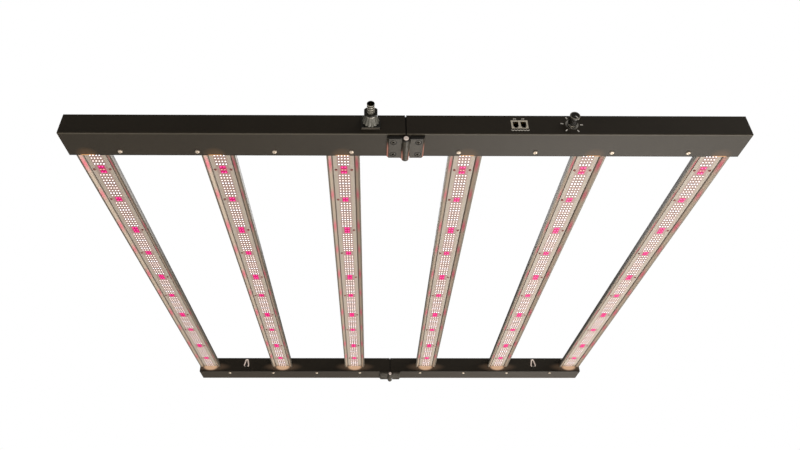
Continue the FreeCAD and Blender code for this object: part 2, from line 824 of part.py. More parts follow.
def make_inlet_nose():
    """Round nose that the mating plug's ring goes over, with a socket and contacts."""
    outline = [
        (0, INLET_NOSE_ROOT + LOOSE_GAP),
        (INLET_ROOT_R, INLET_NOSE_ROOT + LOOSE_GAP),
        (INLET_ROOT_R, INLET_COLLAR_END),
        (INLET_NOSE_R, INLET_COLLAR_END),
        (INLET_NOSE_R, INLET_REACH),
        (INLET_SOCKET_R, INLET_REACH),
        (INLET_SOCKET_R, INLET_REACH - INLET_SOCKET_DEPTH),
        (0, INLET_REACH - INLET_SOCKET_DEPTH),
    ]
    nose = turned(outline, inlet_point(0), Y_AXIS * -1)
    solids = [nose]
    for contact in range(INLET_CONTACTS):
        angle = math.radians(90 + 360 * contact / INLET_CONTACTS)
        x, y, z = inlet_point(INLET_REACH - INLET_SOCKET_DEPTH - 1)
        start = (
            x + INLET_CONTACT_CIRCLE_R * math.cos(angle),
            y,
            z + INLET_CONTACT_CIRCLE_R * math.sin(angle),
        )
        solids.append(rod(INLET_CONTACT_R, start, Y_AXIS * -1, INLET_CONTACT_LENGTH + 1))
    return all_of(solids)


# ---- dimming jacks ----

def port_centres():
    return [JACK_X - PORT_HALF_PITCH, JACK_X + PORT_HALF_PITCH]


def port_cutters(depth, latch_depth):
    """Port mouths with the lower notch for a plug's latch."""
    tools = []
    front = FRONT_FACE_Y - JACK_FRAME_OUT - 1
    for x in port_centres():
        tools.append(block(
            (x - PORT_HALF_WIDTH, x + PORT_HALF_WIDTH),
            (front, FRONT_FACE_Y + depth),
            (UNDERSIDE + PORT_BOTTOM, UNDERSIDE + PORT_TOP),
        ))
        tools.append(block(
            (x - LATCH_HALF_WIDTH, x + LATCH_HALF_WIDTH),
            (front, FRONT_FACE_Y + latch_depth),
            (UNDERSIDE + LATCH_BOTTOM, UNDERSIDE + PORT_BOTTOM + 1),
        ))
    return tools


def make_jack_frame():
    """Light frame on the front face around both ports."""
    middle = UNDERSIDE + JACK_Z
    plate = block(
        (JACK_X - JACK_HALF_WIDTH, JACK_X + JACK_HALF_WIDTH),
        (FRONT_FACE_Y - JACK_FRAME_OUT, FRONT_FACE_Y),
        (middle - JACK_HEIGHT / 2, middle + JACK_HEIGHT / 2),
    )
    return without(plate, port_cutters(1, 1))


def make_jack_block():
    """Connector body behind the frame, with two blind ports."""
    half = JACK_HALF_WIDTH - 2 * JACK_BODY_MARGIN
    half_height = JACK_HEIGHT / 2 - 2 * JACK_BODY_MARGIN
    middle = UNDERSIDE + JACK_Z
    body = block(
        (JACK_X - half, JACK_X + half),
        (FRONT_FACE_Y, FRONT_FACE_Y + JACK_BODY_DEPTH),
        (middle - half_height, middle + half_height),
    )
    return without(body, port_cutters(PORT_DEPTH, LATCH_DEPTH))


# ---- dimmer ----

def dimmer_point(out):
    """Point on the dimmer's axis at a distance out from the front face."""
    return (DIMMER_X, FRONT_FACE_Y - out, UNDERSIDE + DIMMER_Z)


def make_dimmer_washer():
    start = dimmer_point(0)
    ring = rod(DIMMER_WASHER_R, start, Y_AXIS * -1, DIMMER_WASHER_T)
    hole = rod(POT_HOLE_R, start, Y_AXIS * -1, DIMMER_WASHER_T)
    return ring.cut(hole)


def make_dimmer_nut():
    start = dimmer_point(DIMMER_WASHER_T)
    nut = hexagon(DIMMER_NUT_R, start, DIMMER_NUT_T)
    hole = rod(BUSHING_R + LOOSE_GAP, start, Y_AXIS * -1, DIMMER_NUT_T)
    return nut.cut(hole)


def make_potentiometer():
    """Dimmer body behind the wall with its bushing through it."""
    outline = [
        (SHAFT_R + PIN_RUNNING_GAP, -SHAFT_ROOT - 0.5),
        (SHAFT_R + PIN_RUNNING_GAP, BUSHING_END),
        (BUSHING_R, BUSHING_END),
        (BUSHING_R, -SHEET),
        (POT_BODY_R, -SHEET),
        (POT_BODY_R, -SHEET - POT_BODY_LENGTH),
        (0, -SHEET - POT_BODY_LENGTH),
        (0, -SHAFT_ROOT - 0.5),
    ]
    return turned(outline, dimmer_point(0), Y_AXIS * -1)


def make_dimmer_shaft():
    return rod(SHAFT_R, dimmer_point(-SHAFT_ROOT), Y_AXIS * -1, SHAFT_ROOT + SHAFT_END)


def make_knob():
    """Knob with a wider cap, a pointer groove and a recess over the nut."""
    outline = [
        (KNOB_RECESS_R, KNOB_BASE - KNOB_RECESS_DEPTH),
        (KNOB_BASE_R, KNOB_BASE - KNOB_RECESS_DEPTH),
        (KNOB_BASE_R, KNOB_END - KNOB_CAP_LENGTH),
        (KNOB_CAP_R, KNOB_END - KNOB_CAP_LENGTH + KNOB_EDGE),
        (KNOB_CAP_R, KNOB_END - KNOB_EDGE),
        (KNOB_CAP_R - KNOB_EDGE, KNOB_END),
        (0, KNOB_END),
        (0, SHAFT_END),
        (SHAFT_R, SHAFT_END),
        (SHAFT_R, BUSHING_END + LOOSE_GAP),
        (KNOB_RECESS_R, BUSHING_END + LOOSE_GAP),
    ]
    body = turned(outline, dimmer_point(0), Y_AXIS * -1)
    x, y, z = dimmer_point(KNOB_END)
    groove = block(
        (x, x + 2 * KNOB_CAP_R),
        (y - 1, y + POINTER_DEPTH),
        (z - POINTER_WIDTH / 2, z + POINTER_WIDTH / 2),
    )
    side_cut = block(
        (x + KNOB_BASE_R - POINTER_DEPTH, x + 2 * KNOB_CAP_R),
        (y - 1, FRONT_FACE_Y - KNOB_BASE),
        (z - POINTER_WIDTH / 2, z + POINTER_WIDTH / 2),
    )
    for tool in (groove, side_cut):
        tool.rotate(FreeCAD.Vector(x, y, z), Y_AXIS * -1, POINTER_ANGLE)
    return without(body, [groove, side_cut])


# ---- hanging rings ----

def ring_centre(side, row):
    """Middle of a ring's lower bar, which is its pivot."""
    y = depth_y(row, RAIL_DEPTH + RING_PIVOT_OFFSET)
    return FreeCAD.Vector(side * RING_X, y, UNDERSIDE + RING_PIVOT_Z)


def rounded_path(points, radius):
    """Closed path through the points with its corners rounded."""
    edges = []
    count = len(points)
    starts = []
    ends = []
    for i in range(count):
        before = points[i - 1]
        here = points[i]
        after = points[(i + 1) % count]
        to_before = (before - here).normalize()
        to_after = (after - here).normalize()
        half_angle = to_before.getAngle(to_after) / 2
        reach = radius / math.tan(half_angle)
        middle_way = (to_before + to_after).normalize()
        centre = here + middle_way * (radius / math.sin(half_angle))
        arc_start = here + to_before * reach
        arc_end = here + to_after * reach
        arc_middle = centre - middle_way * radius
        edges.append(Part.Arc(arc_start, arc_middle, arc_end).toShape())
        starts.append(arc_start)
        ends.append(arc_end)
    path = []
    for i in range(count):
        path.append(edges[i])
        path.append(Part.makeLine(ends[i], starts[(i + 1) % count]))
    return Part.Wire(path)


def make_ring(side, row):
    """Wire ring standing up from its pivot: wide lower bar, narrow rounded top."""
    middle = ring_centre(side, row)
    corners = [
        middle + FreeCAD.Vector(-RING_HALF_BASE, 0, 0),
        middle + FreeCAD.Vector(RING_HALF_BASE, 0, 0),
        middle + FreeCAD.Vector(RING_APEX_HALF, 0, RING_RISE),
        middle + FreeCAD.Vector(-RING_APEX_HALF, 0, RING_RISE),
    ]
    path = rounded_path(corners, RING_CORNER_R)
    first = path.Edges[0]
    start = first.valueAt(first.FirstParameter)
    tangent = first.tangentAt(first.FirstParameter)
    circle = Part.Wire(Part.makeCircle(RING_WIRE_R, start, tangent))
    swept = path.makePipeShell([circle], True, True)
    return swept


def make_ring_clip(side, row):
    """Clip welded to the rail's cover, wrapped round the ring's lower bar."""
    middle = ring_centre(side, row)
    x0 = middle.x - CLIP_HALF_WIDTH
    tube = rod(CLIP_TUBE_R, (x0, middle.y, middle.z), X_AXIS, 2 * CLIP_HALF_WIDTH)
    plate = block(
        (x0, x0 + 2 * CLIP_HALF_WIDTH),
        (depth_y(row, RAIL_DEPTH), depth_y(row, RAIL_DEPTH + CLIP_PLATE_T)),
        (middle.z - CLIP_PLATE_DROP, middle.z + CLIP_PLATE_RISE),
    )
    bore = rod(RING_WIRE_R + CLIP_BORE_GAP, (x0 - 1, middle.y, middle.z), X_AXIS, 2 * CLIP_HALF_WIDTH + 2)
    return all_of([tube, plate]).cut(bore)


def make_ring_clips(side):
    return [make_ring_clip(side, row) for row in ROWS.values()]


# ---- drivers ----

def make_driver(side):
    """Slim power supply inside the front rail, standing on the rail's floor."""
    start_x = DRIVER_START_X
    length = DRIVER_LENGTH
    if side == RIGHT:
        start_x = RIGHT_DRIVER_START_X
        length = RIGHT_DRIVER_LENGTH
    low = UNDERSIDE + SHEET
    y0 = depth_y(FRONT, SHEET)
    return block(
        (side * start_x, side * (start_x + length)),
        (y0, y0 + DRIVER_DEPTH),
        (low, low + DRIVER_HEIGHT),
    )


def build_rails():
    for side_name, side in SIDES.items():
        for row_name, row in ROWS.items():
            save(side_name + "_" + row_name + "_housing", [make_housing(side, row)])
            save(side_name + "_" + row_name + "_cover", [make_cover(side, row)])
        save(side_name + "_outer_caps", make_outer_caps(side))
        save(side_name + "_inner_caps", make_inner_caps(side))
        save(side_name + "_cover_screws", make_cover_screws(side))
        save(side_name + "_driver", [make_driver(side)])


def build_bars():
    for side_name, side in SIDES.items():
        for bar_name, bar_x in zip(BAR_NAMES, bar_xs(side)):
            save(side_name + "_" + bar_name + "_heatsink", [make_heatsink(bar_x)])
            save(side_name + "_" + bar_name + "_board", [make_board(bar_x)])
        save(side_name + "_bar_brackets", make_brackets(side))
        save(side_name + "_bracket_screws", make_bracket_screws(side))
        save(side_name + "_board_screws", make_board_screws(side))


def build_hinges():
    for row_name, row in ROWS.items():
        for side_name, side in SIDES.items():
            save(row_name + "_hinge_" + side_name + "_leaf", [make_leaf(side, row)])
        save(row_name + "_hinge_pin", [make_hinge_pin(row)])
    for side_name, side in SIDES.items():
        save(side_name + "_hinge_screws", make_hinge_screws(side))


def build_controls():
    save("inlet_body", [make_inlet_body()])
    save("inlet_locknut", [make_inlet_locknut()])
    save("inlet_washer", [make_inlet_washer()])
    save("inlet_collar", [make_inlet_collar()])
    save("inlet_nose", [make_inlet_nose()])
    save("jack_frame", [make_jack_frame()])
    save("jack_block", [make_jack_block()])
    save("dimmer_knob", [make_knob()])
    save("dimmer_shaft", [make_dimmer_shaft()])
    save("dimmer_nut", [make_dimmer_nut()])
    save("dimmer_washer", [make_dimmer_washer()])
    save("potentiometer", [make_potentiometer()])


def build_rings():
    for side_name, side in SIDES.items():
        for row_name, row in ROWS.items():
            save(side_name + "_" + row_name + "_ring", [make_ring(side, row)])
        save(side_name + "_ring_clips", make_ring_clips(side))


os.makedirs("parts", exist_ok=True)
build_rails()
build_bars()
build_hinges()
build_controls()
build_rings()
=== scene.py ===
import math
import random

import bmesh
import bpy
from mathutils import Matrix, Vector


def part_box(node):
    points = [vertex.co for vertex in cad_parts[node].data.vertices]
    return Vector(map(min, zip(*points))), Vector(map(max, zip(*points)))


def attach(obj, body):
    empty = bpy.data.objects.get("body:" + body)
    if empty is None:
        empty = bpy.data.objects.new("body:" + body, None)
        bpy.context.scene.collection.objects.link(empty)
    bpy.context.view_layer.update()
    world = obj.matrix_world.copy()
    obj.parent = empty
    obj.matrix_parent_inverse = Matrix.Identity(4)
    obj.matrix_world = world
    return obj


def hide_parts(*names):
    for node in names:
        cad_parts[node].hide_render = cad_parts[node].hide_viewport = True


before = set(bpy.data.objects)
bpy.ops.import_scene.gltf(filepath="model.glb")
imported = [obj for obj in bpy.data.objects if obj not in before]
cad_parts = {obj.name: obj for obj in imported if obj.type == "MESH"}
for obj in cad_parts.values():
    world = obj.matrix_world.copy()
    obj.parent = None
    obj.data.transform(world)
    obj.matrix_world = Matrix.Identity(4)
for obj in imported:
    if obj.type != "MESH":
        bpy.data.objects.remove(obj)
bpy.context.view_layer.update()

# Looks of a folding six-bar LED grow light, seen from below and in front.
# Lengths in this script are in metres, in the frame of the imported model.

MM = 0.001

# Signs of the halves along X and of the rails along Y, front rail first
SIDES = {"left": -1, "right": 1}
ROWS = (-1, 1)
BAR_NAMES = ["inner", "middle", "outer"]
random.seed(7)

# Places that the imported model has
UNDERSIDE_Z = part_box("left_front_housing")[0][2]
FRONT_FACE_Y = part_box("left_front_housing")[0][1]
REAR_FACE_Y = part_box("left_rear_housing")[1][1]
RAIL_DEPTH = 53.5 * MM
BAR_FIRST_X = 102.5 * MM
BAR_PITCH = 208.5 * MM
BAR_BOTTOM_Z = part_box("left_inner_heatsink")[0][2]
BOARD_FACE_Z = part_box("left_inner_board")[0][2]
BRACKET_THICKNESS = 3 * MM
BRACKET_LOW_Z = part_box("left_bar_brackets")[0][2]
COLLAR_END = FRONT_FACE_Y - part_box("inlet_collar")[0][1]
CONTROL_Z = 32.85 * MM
INLET_X = -56 * MM
JACK_X = 181.5 * MM
DIMMER_X = 265 * MM

# Hinge screws, and how far the leaves start behind the front face
HINGE_SCREW_X = 20 * MM
HINGE_SCREW_DEPTHS = (14 * MM, 42.5 * MM)
HINGE_SCREW_SEAT_Z = 6.55 * MM
HINGE_FRONT_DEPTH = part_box("front_hinge_right_leaf")[0][1] - FRONT_FACE_Y

# LED layout of one bar
LED_PITCH = 7.55 * MM
LED_FIRST_Y = -400.5 * MM
LED_ROWS_BEFORE = 7
LED_ROWS_AFTER = 120
PATTERN = 25
RED_ROWS = (24, 0, 1, 11, 12)
COOL_ROWS = (5, 9, 16, 20, 23)
LED_COLUMNS = (-7.875 * MM, -2.625 * MM, 2.625 * MM, 7.875 * MM)
SECOND_GROUP = 11.5


def depth_y(row, depth):
    """Y at a depth from a rail's outer face towards the bars."""
    outer_face = REAR_FACE_Y if row > 0 else FRONT_FACE_Y
    return outer_face - row * depth


def bar_xs(side):
    return [side * (BAR_FIRST_X + BAR_PITCH * i) for i in range(len(BAR_NAMES))]


# ---- materials ----

class Look:
    """A node material under construction."""

    def __init__(self, name):
        self.material = bpy.data.materials.new(name)
        self.material.use_nodes = True
        self.tree = self.material.node_tree
        self.shader = self.tree.nodes["Principled BSDF"]
        coordinates = self.tree.nodes.new("ShaderNodeTexCoord")
        self.place = coordinates.outputs["Object"]
        parts = self.tree.nodes.new("ShaderNodeSeparateXYZ")
        self.tree.links.new(self.place, parts.inputs[0])
        self.x, self.y, self.z = parts.outputs

    def put(self, socket, value):
        """Set a socket to a value, or link it to another socket."""
        if isinstance(value, bpy.types.NodeSocket):
            self.tree.links.new(value, socket)
        else:
            socket.default_value = value

    def set(self, name, value):
        self.put(self.shader.inputs[name], value)

    def math(self, operation, a, b=0.0, clamp=False):
        node = self.tree.nodes.new("ShaderNodeMath")
        node.operation = operation
        node.use_clamp = clamp
        self.put(node.inputs[0], a)
        self.put(node.inputs[1], b)
        return node.outputs[0]

    def times(self, *factors):
        """Product of two or more values."""
        total = factors[0]
        for factor in factors[1:]:
            total = self.math("MULTIPLY", total, factor)
        return total

    def plus(self, a, b):
        return self.math("ADD", a, b)

    def apart(self, a, b):
        """Distance between two values."""
        return self.math("ABSOLUTE", self.math("SUBTRACT", a, b))

    def squares(self, a, b):
        """Sum of the squares of two values."""
        return self.plus(self.math("POWER", a, 2.0), self.math("POWER", b, 2.0))

    def between(self, value, zero_at, one_at):
        """Smooth step from 0 at one value to 1 at another."""
        node = self.tree.nodes.new("ShaderNodeMapRange")
        node.interpolation_type = "SMOOTHSTEP"
        self.put(node.inputs["Value"], value)
        node.inputs["From Min"].default_value = zero_at
        node.inputs["From Max"].default_value = one_at
        return node.outputs["Result"]

    def span(self, value, low=0.0, high=1.0):
        """Linear map of 0..1 to a range."""
        node = self.tree.nodes.new("ShaderNodeMapRange")
        self.put(node.inputs["Value"], value)
        node.inputs["To Min"].default_value = low
        node.inputs["To Max"].default_value = high
        return node.outputs["Result"]

    def nearest(self, value, first, pitch):
        """Distance to the nearest of a row of evenly spaced places."""
        steps = self.math("DIVIDE", self.math("SUBTRACT", value, first), pitch)
        return self.times(self.apart(steps, self.math("ROUND", steps)), pitch)

    def mix(self, factor, a, b):
        node = self.tree.nodes.new("ShaderNodeMix")
        node.data_type = "RGBA"
        self.put(node.inputs[0], factor)
        self.put(node.inputs[6], a)
        self.put(node.inputs[7], b)
        return node.outputs[2]

    def stretched(self, factors):
        """Object coordinates scaled by axis."""
        node = self.tree.nodes.new("ShaderNodeMapping")
        self.put(node.inputs["Vector"], self.place)
        node.inputs["Scale"].default_value = factors
        return node.outputs["Vector"]

    def noise(self, scale, detail=3.0, roughness=0.5, place=None):
        node = self.tree.nodes.new("ShaderNodeTexNoise")
        self.put(node.inputs["Vector"], place or self.place)
        node.inputs["Scale"].default_value = scale
        node.inputs["Detail"].default_value = detail
        node.inputs["Roughness"].default_value = roughness
        return node.outputs[0]

    def grain(self, scale=1800.0):
        """Fine noise of a moulded or coated skin."""
        return self.noise(scale, 4.0, 0.6)

    def bump(self, height, distance, strength=1.0, edge=0.0):
        """Bump on top of edges that are softened over a small radius."""
        node = self.tree.nodes.new("ShaderNodeBump")
        node.inputs["Strength"].default_value = strength
        node.inputs["Distance"].default_value = distance
        self.put(node.inputs["Height"], height)
        if edge:
            soft = self.tree.nodes.new("ShaderNodeBevel")
            soft.samples = 4
            soft.inputs["Radius"].default_value = edge
            self.put(node.inputs["Normal"], soft.outputs[0])
        self.set("Normal", node.outputs[0])

    def glow(self, colour, strength):
        self.set("Emission Color", colour)
        self.set("Emission Strength", strength)


def rgb(red, green, blue):
    """Linear colour from display values of 0 to 255."""
    def linear(value):
        value = value / 255
        if value <= 0.04045:
            return value / 12.92
        return ((value + 0.055) / 1.055) ** 2.4
    return (linear(red), linear(green), linear(blue), 1.0)


# -- places on the light, as masks and distances --

def rail_depth_of(look):
    """Distance from the nearer rail's outer face towards the bars."""
    middle = (FRONT_FACE_Y + REAR_FACE_Y) / 2
    reach = (REAR_FACE_Y - FRONT_FACE_Y) / 2
    return look.math("SUBTRACT", reach, look.apart(look.y, middle))


def across_bar(look):
    """Distance from the middle line of the nearest bar."""
    return look.nearest(look.math("ABSOLUTE", look.x), BAR_FIRST_X, BAR_PITCH)


def on_underside(look):
    """1 on the rails' undersides, 0 above them."""
    return look.between(look.z, UNDERSIDE_Z + 1.4 * MM, UNDERSIDE_Z + 0.6 * MM)


def in_front(look):
    """1 in the front half of the light, 0 in the rear half."""
    return look.between(look.y, 0.1, -0.1)


def lit_length(look):
    """1 along the lit length of a bar, fading at both ends."""
    start = look.between(look.y, -458 * MM, -448 * MM)
    end = look.between(look.y, 506 * MM, 496 * MM)
    return look.times(start, end)


def red_groups(look, reach, soft, shift=0.0):
    """1 beside the groups of red LEDs along a bar, 0 elsewhere."""
    y = look.math("SUBTRACT", look.y, shift)
    pitch = LED_PITCH * PATTERN
    first = look.nearest(y, LED_FIRST_Y, pitch)
    second = look.nearest(y, LED_FIRST_Y + LED_PITCH * SECOND_GROUP, pitch)
    wide = reach + LED_PITCH / 2
    first = look.between(first, wide + soft, wide - soft)
    second = look.between(second, reach + soft, reach - soft)
    return look.math("MAXIMUM", first, second)


def red_on_walls(look):
    """1 where red light lies on a channel's walls, a little in front of each red group."""
    return red_groups(look, 9 * MM, 17 * MM, -18 * MM)


def cool_rows(look):
    """1 over the rows of cool white LEDs."""
    total = 0.0
    for row in COOL_ROWS:
        off = look.nearest(look.y, LED_FIRST_Y + LED_PITCH * row, LED_PITCH * PATTERN)
        beside = look.between(off, 0.75 * LED_PITCH, 0.45 * LED_PITCH)
        total = look.math("ADD", total, beside, True)
    return total


# -- rails --

LIP_GLOW = rgb(255, 184, 116)
END_GLOW = rgb(240, 194, 156)
# Painted shade for dark lines along the lip and rings round the hinge screws
PAINTED_SHADE = rgb(20, 17, 13)


def powder_coat(name, glow_under_bars=False):
    """Matt black powder coat: a fine orange-peel skin with dust in its hollows."""
    look = Look(name)
    grain = look.grain(1400.0)
    cloud = look.noise(9.0, 3.0, 0.55)
    dust = rgb(88, 80, 68)
    tone = look.mix(look.span(cloud), rgb(44, 37, 27), rgb(56, 49, 38))
    tone = look.mix(look.between(grain, 0.62, 0.78), tone, dust)
    tone = add_edge_shades(look, tone)
    look.set("Base Color", tone)
    look.set("Roughness", look.span(grain, 0.44, 0.62))
    look.set("Specular IOR Level", 0.42)
    look.bump(grain, 0.05 * MM, 0.6, 0.5 * MM)
    if glow_under_bars:
        add_end_glow(look)
    else:
        look.glow(LIP_GLOW, lip_glow(look))
    return look.material


def add_edge_shades(look, tone):
    """Painted highlight on the lower bend and a painted shade line along the lip."""
    # The paler colour on the lower bend is a painted highlight; the dark line along the lip is
    # painted shade.
    bend_highlight = rgb(86, 80, 68)
    depth = rail_depth_of(look)
    floor = on_underside(look)
    bend = look.between(depth, 3.2 * MM, 1.8 * MM)
    lip = look.between(depth, RAIL_DEPTH - 2.0 * MM, RAIL_DEPTH - 0.8 * MM)
    tone = look.mix(look.times(floor, bend), tone, bend_highlight)
    return look.mix(look.times(floor, lip), tone, PAINTED_SHADE)


def oval(look, across, along, width, height, soft=0.0):
    """0 outside an ellipse, rising smoothly to 1 inside it."""
    wide = look.math("DIVIDE", across, width)
    tall = look.math("DIVIDE", along, height)
    return look.between(look.squares(wide, tall), 1.0, soft)


def lip_glow(look):
    """Strength of the glow on the near rail's lip above each row of LEDs."""
    across = across_bar(look)
    from_lip = look.math("SUBTRACT", RAIL_DEPTH, rail_depth_of(look))
    halo = oval(look, across, from_lip, 22 * MM, 22 * MM)
    edge = look.between(from_lip, 2.6 * MM, 0.9 * MM)
    edge = look.times(edge, look.between(across, 13 * MM, 9 * MM))
    total = look.plus(look.times(halo, 0.05), look.times(edge, 0.7))
    return look.times(total, on_underside(look), in_front(look))


def add_end_glow(look):
    """Light that the last LEDs of each bar throw on the rail beside them."""
    across = across_bar(look)
    below = look.math("ABSOLUTE", look.math("SUBTRACT", BAR_BOTTOM_Z + 2 * MM, look.z))
    spot = look.times(oval(look, across, below, 23 * MM, 12 * MM, 0.3), 0.62)
    tail = look.times(oval(look, across, below, 62 * MM, 14 * MM), 0.07)
    from_wall = look.apart(rail_depth_of(look), RAIL_DEPTH)
    wall = look.between(from_wall, 0.8 * MM, 0.3 * MM)
    ends = look.times(look.plus(spot, tail), wall)
    look.glow(END_GLOW, look.plus(ends, lip_glow(look)))


# -- bars and boards --

def anodised():
    """Extruded aluminium of the bars, brushed by the die along its length."""
    look = Look("anodised_bar")
    streak = look.noise(1.0, 4.0, 0.6, look.stretched((900.0, 3.0, 900.0)))
    fine = look.noise(1.0, 2.0, 0.5, look.stretched((4000.0, 40.0, 4000.0)))
    look.set("Base Color", bar_tones(look, streak))
    look.set("Metallic", 0.3)
    look.set("Roughness", look.span(fine, 0.34, 0.52))
    look.bump(streak, 0.03 * MM, 0.5, 0.3 * MM)
    add_wall_glow(look)
    return look.material


def bar_tones(look, streak):
    """Brushed metal, dark at corners, lips and sides, with red light on its walls."""
    corner_shade = rgb(92, 76, 66)
    lip_shade = rgb(98, 88, 76)
    red_light = rgb(212, 66, 108)
    side_shade = rgb(50, 44, 36)
    across = across_bar(look)
    tone = look.mix(look.span(streak), rgb(148, 138, 124), rgb(176, 166, 152))
    corner = look.between(across, 21.0 * MM, 19.8 * MM)
    lip = look.between(across, 24.6 * MM, 25.6 * MM)
    tone = look.mix(look.times(corner, 0.75), tone, corner_shade)
    tone = look.mix(look.times(lip, 0.75), tone, lip_shade)
    wall = look.times(
        look.between(across, 20.0 * MM, 21.0 * MM),
        look.between(across, 25.6 * MM, 24.8 * MM),
        look.between(look.z, BOARD_FACE_Z + 2.5 * MM, BOARD_FACE_Z + 1.5 * MM),
    )
    tone = look.mix(look.times(red_on_walls(look), wall, 0.7), tone, red_light)
    side = look.times(
        look.between(look.z, BAR_BOTTOM_Z + 2.5 * MM, BAR_BOTTOM_Z + 7.0 * MM),
        look.between(across, 27.0 * MM, 27.8 * MM),
    )
    return look.mix(look.times(side, 0.9), tone, side_shade)


def add_wall_glow(look):
    """LED light on the inner walls of a bar's channel."""
    across = across_bar(look)
    inner = look.between(across, 25.2 * MM, 24.4 * MM)
    low = look.between(look.z, BOARD_FACE_Z + 1.0 * MM, BOARD_FACE_Z)
    above = look.between(look.z, BAR_BOTTOM_Z + 0.1 * MM, BAR_BOTTOM_Z + 0.6 * MM)
    wall = look.between(across, 20.0 * MM, 21.5 * MM)
    colour = look.mix(red_on_walls(look), rgb(222, 180, 148), rgb(226, 96, 116))
    look.glow(colour, look.times(inner, low, above, lit_length(look), wall, 0.16))


def circuit_board():
    """White solder mask with faint copper tracks, lit between its LEDs."""
    look = Look("circuit_board")
    weave = look.noise(2500.0, 3.0, 0.6)
    across = across_bar(look)
    copper = copper_tracks(look, across)
    tone = look.mix(look.span(weave), rgb(180, 169, 159), rgb(196, 186, 176))
    tone = look.mix(copper, tone, rgb(190, 178, 164))
    lit = look.times(look.between(across, 12.0 * MM, 10.0 * MM), lit_length(look))
    tone = look.mix(lit, tone, rgb(172, 148, 143))
    # Magenta on the board round the red groups is painted red light from the red LEDs
    red_light_core = look.between(across, 7.0 * MM, 4.5 * MM)
    red_light_core = look.times(red_groups(look, 6.5 * MM, 2.0 * MM), red_light_core)
    tone = look.mix(red_light_core, tone, rgb(186, 0, 92))
    look.set("Base Color", tone)
    look.set("Roughness", look.span(weave, 0.38, 0.55))
    look.bump(look.plus(look.times(weave, 0.3), copper), 0.04 * MM, 0.6)
    add_board_glow(look, across)
    return look.material


def copper_tracks(look, across):
    """1 on the copper pads beside the LED columns, 0 in the gaps between rows."""
    along = look.nearest(look.y, LED_FIRST_Y, LED_PITCH)
    track = look.between(look.apart(across, 13.2 * MM), 1.6 * MM, 1.3 * MM)
    gap = look.between(along, 3.2 * MM, 3.5 * MM)
    return look.times(track, look.math("SUBTRACT", 1.0, gap))


def add_board_glow(look, across):
    """Light on the board between the LEDs, red beside the red groups."""
    field = look.times(look.between(across, 12.5 * MM, 9.5 * MM), lit_length(look))
    red = look.between(across, 9.0 * MM, 5.0 * MM)
    red = look.times(red_groups(look, 6.5 * MM, 2.5 * MM), red)
    colour = look.mix(cool_rows(look), rgb(224, 178, 160), rgb(190, 192, 206))
    colour = look.mix(red, colour, rgb(226, 0, 124))
    look.glow(colour, look.times(field, look.plus(0.05, look.times(red, 0.14))))


def led_frame():
    """White reflector cup round each LED's phosphor."""
    look = Look("led_frame")
    speck = look.noise(3000.0, 2.0)
    look.set("Base Color", look.mix(look.span(speck), rgb(190, 174, 170), rgb(208, 192, 190)))
    look.set("Roughness", look.span(speck, 0.35, 0.5))
    # Faint painted glow of the LEDs' light on the cup
    look.glow(rgb(255, 200, 180), 0.03)
    return look.material


def phosphor(name, edge, centre, strength):
    """Lit phosphor, with a little unevenness."""
    look = Look(name)
    speck = look.noise(2200.0, 2.0)
    colour = look.mix(look.span(speck), rgb(*edge), rgb(*centre))
    look.set("Base Color", colour)
    look.set("Roughness", look.span(speck, 0.2, 0.35))
    look.glow(colour, strength)
    return look.material


# -- metal, plastic and rubber --

def bare_metal(name, dark, light, rough, metallic, lit):
    """Plated or bare metal with fine scratches."""
    look = Look(name)
    scratch = look.noise(1.0, 4.0, 0.65, look.stretched((700.0, 175.0, 700.0)))
    tarnish = look.noise(84.0)
    look.set("Base Color", look.mix(look.span(tarnish), rgb(*dark), rgb(*light)))
    look.set("Metallic", metallic)
    look.set("Roughness", look.span(scratch, rough - 0.08, rough + 0.12))
    look.bump(scratch, 0.02 * MM, 0.4, 0.2 * MM)
    # A painted glow lifts bright parts such as the pin heads and rings, standing in for their
    # highlight
    if lit:
        look.glow(rgb(255, 228, 216), lit)
    return look.material


def moulded(name, dark, light, rough, lit):
    """Moulded plastic, paint or rubber with a fine grain."""
    look = Look(name)
    grain = look.grain()
    cloud = look.noise(60.0, 2.0)
    look.set("Base Color", look.mix(look.span(cloud), rgb(*dark), rgb(*light)))
    look.set("Roughness", look.span(grain, rough - 0.06, rough + 0.1))
    look.bump(grain, 0.03 * MM, 0.5, 0.3 * MM)
    # A painted glow lifts the print and the jack frame, standing in for light on them
    if lit:
        look.glow(rgb(*light), lit)
    return look.material


def hinge_coat():
    """Charcoal cast hinge that picks up the LEDs' light on its flanks, with painted shade along
    its front end and round its screws.
    """
    look = Look("hinge_black")
    grain = look.grain(1600.0)
    cloud = look.noise(70.0, 2.0)
    depth = rail_depth_of(look)
    side = look.math("ABSOLUTE", look.x)
    tone = look.mix(look.span(cloud), rgb(58, 53, 45), rgb(74, 69, 60))
    look.set("Roughness", look.span(grain, 0.38, 0.54))
    look.bump(grain, 0.03 * MM, 0.5, 0.4 * MM)
    # Painted shade on the front end of the leaves
    band = look.between(depth, HINGE_FRONT_DEPTH + 3.2 * MM, HINGE_FRONT_DEPTH + 2.2 * MM)
    tone = look.mix(band, tone, rgb(24, 20, 15))
    # Painted shade in rings round the countersunk screws
    for screw_depth in HINGE_SCREW_DEPTHS:
        dx = look.math("SUBTRACT", side, HINGE_SCREW_X)
        off = look.math("SQRT", look.squares(dx, look.apart(depth, screw_depth)))
        tone = look.mix(look.between(off, 6.3 * MM, 5.6 * MM), tone, PAINTED_SHADE)
    look.set("Base Color", tone)
    add_hinge_glow(look, side, depth)
    return look.material


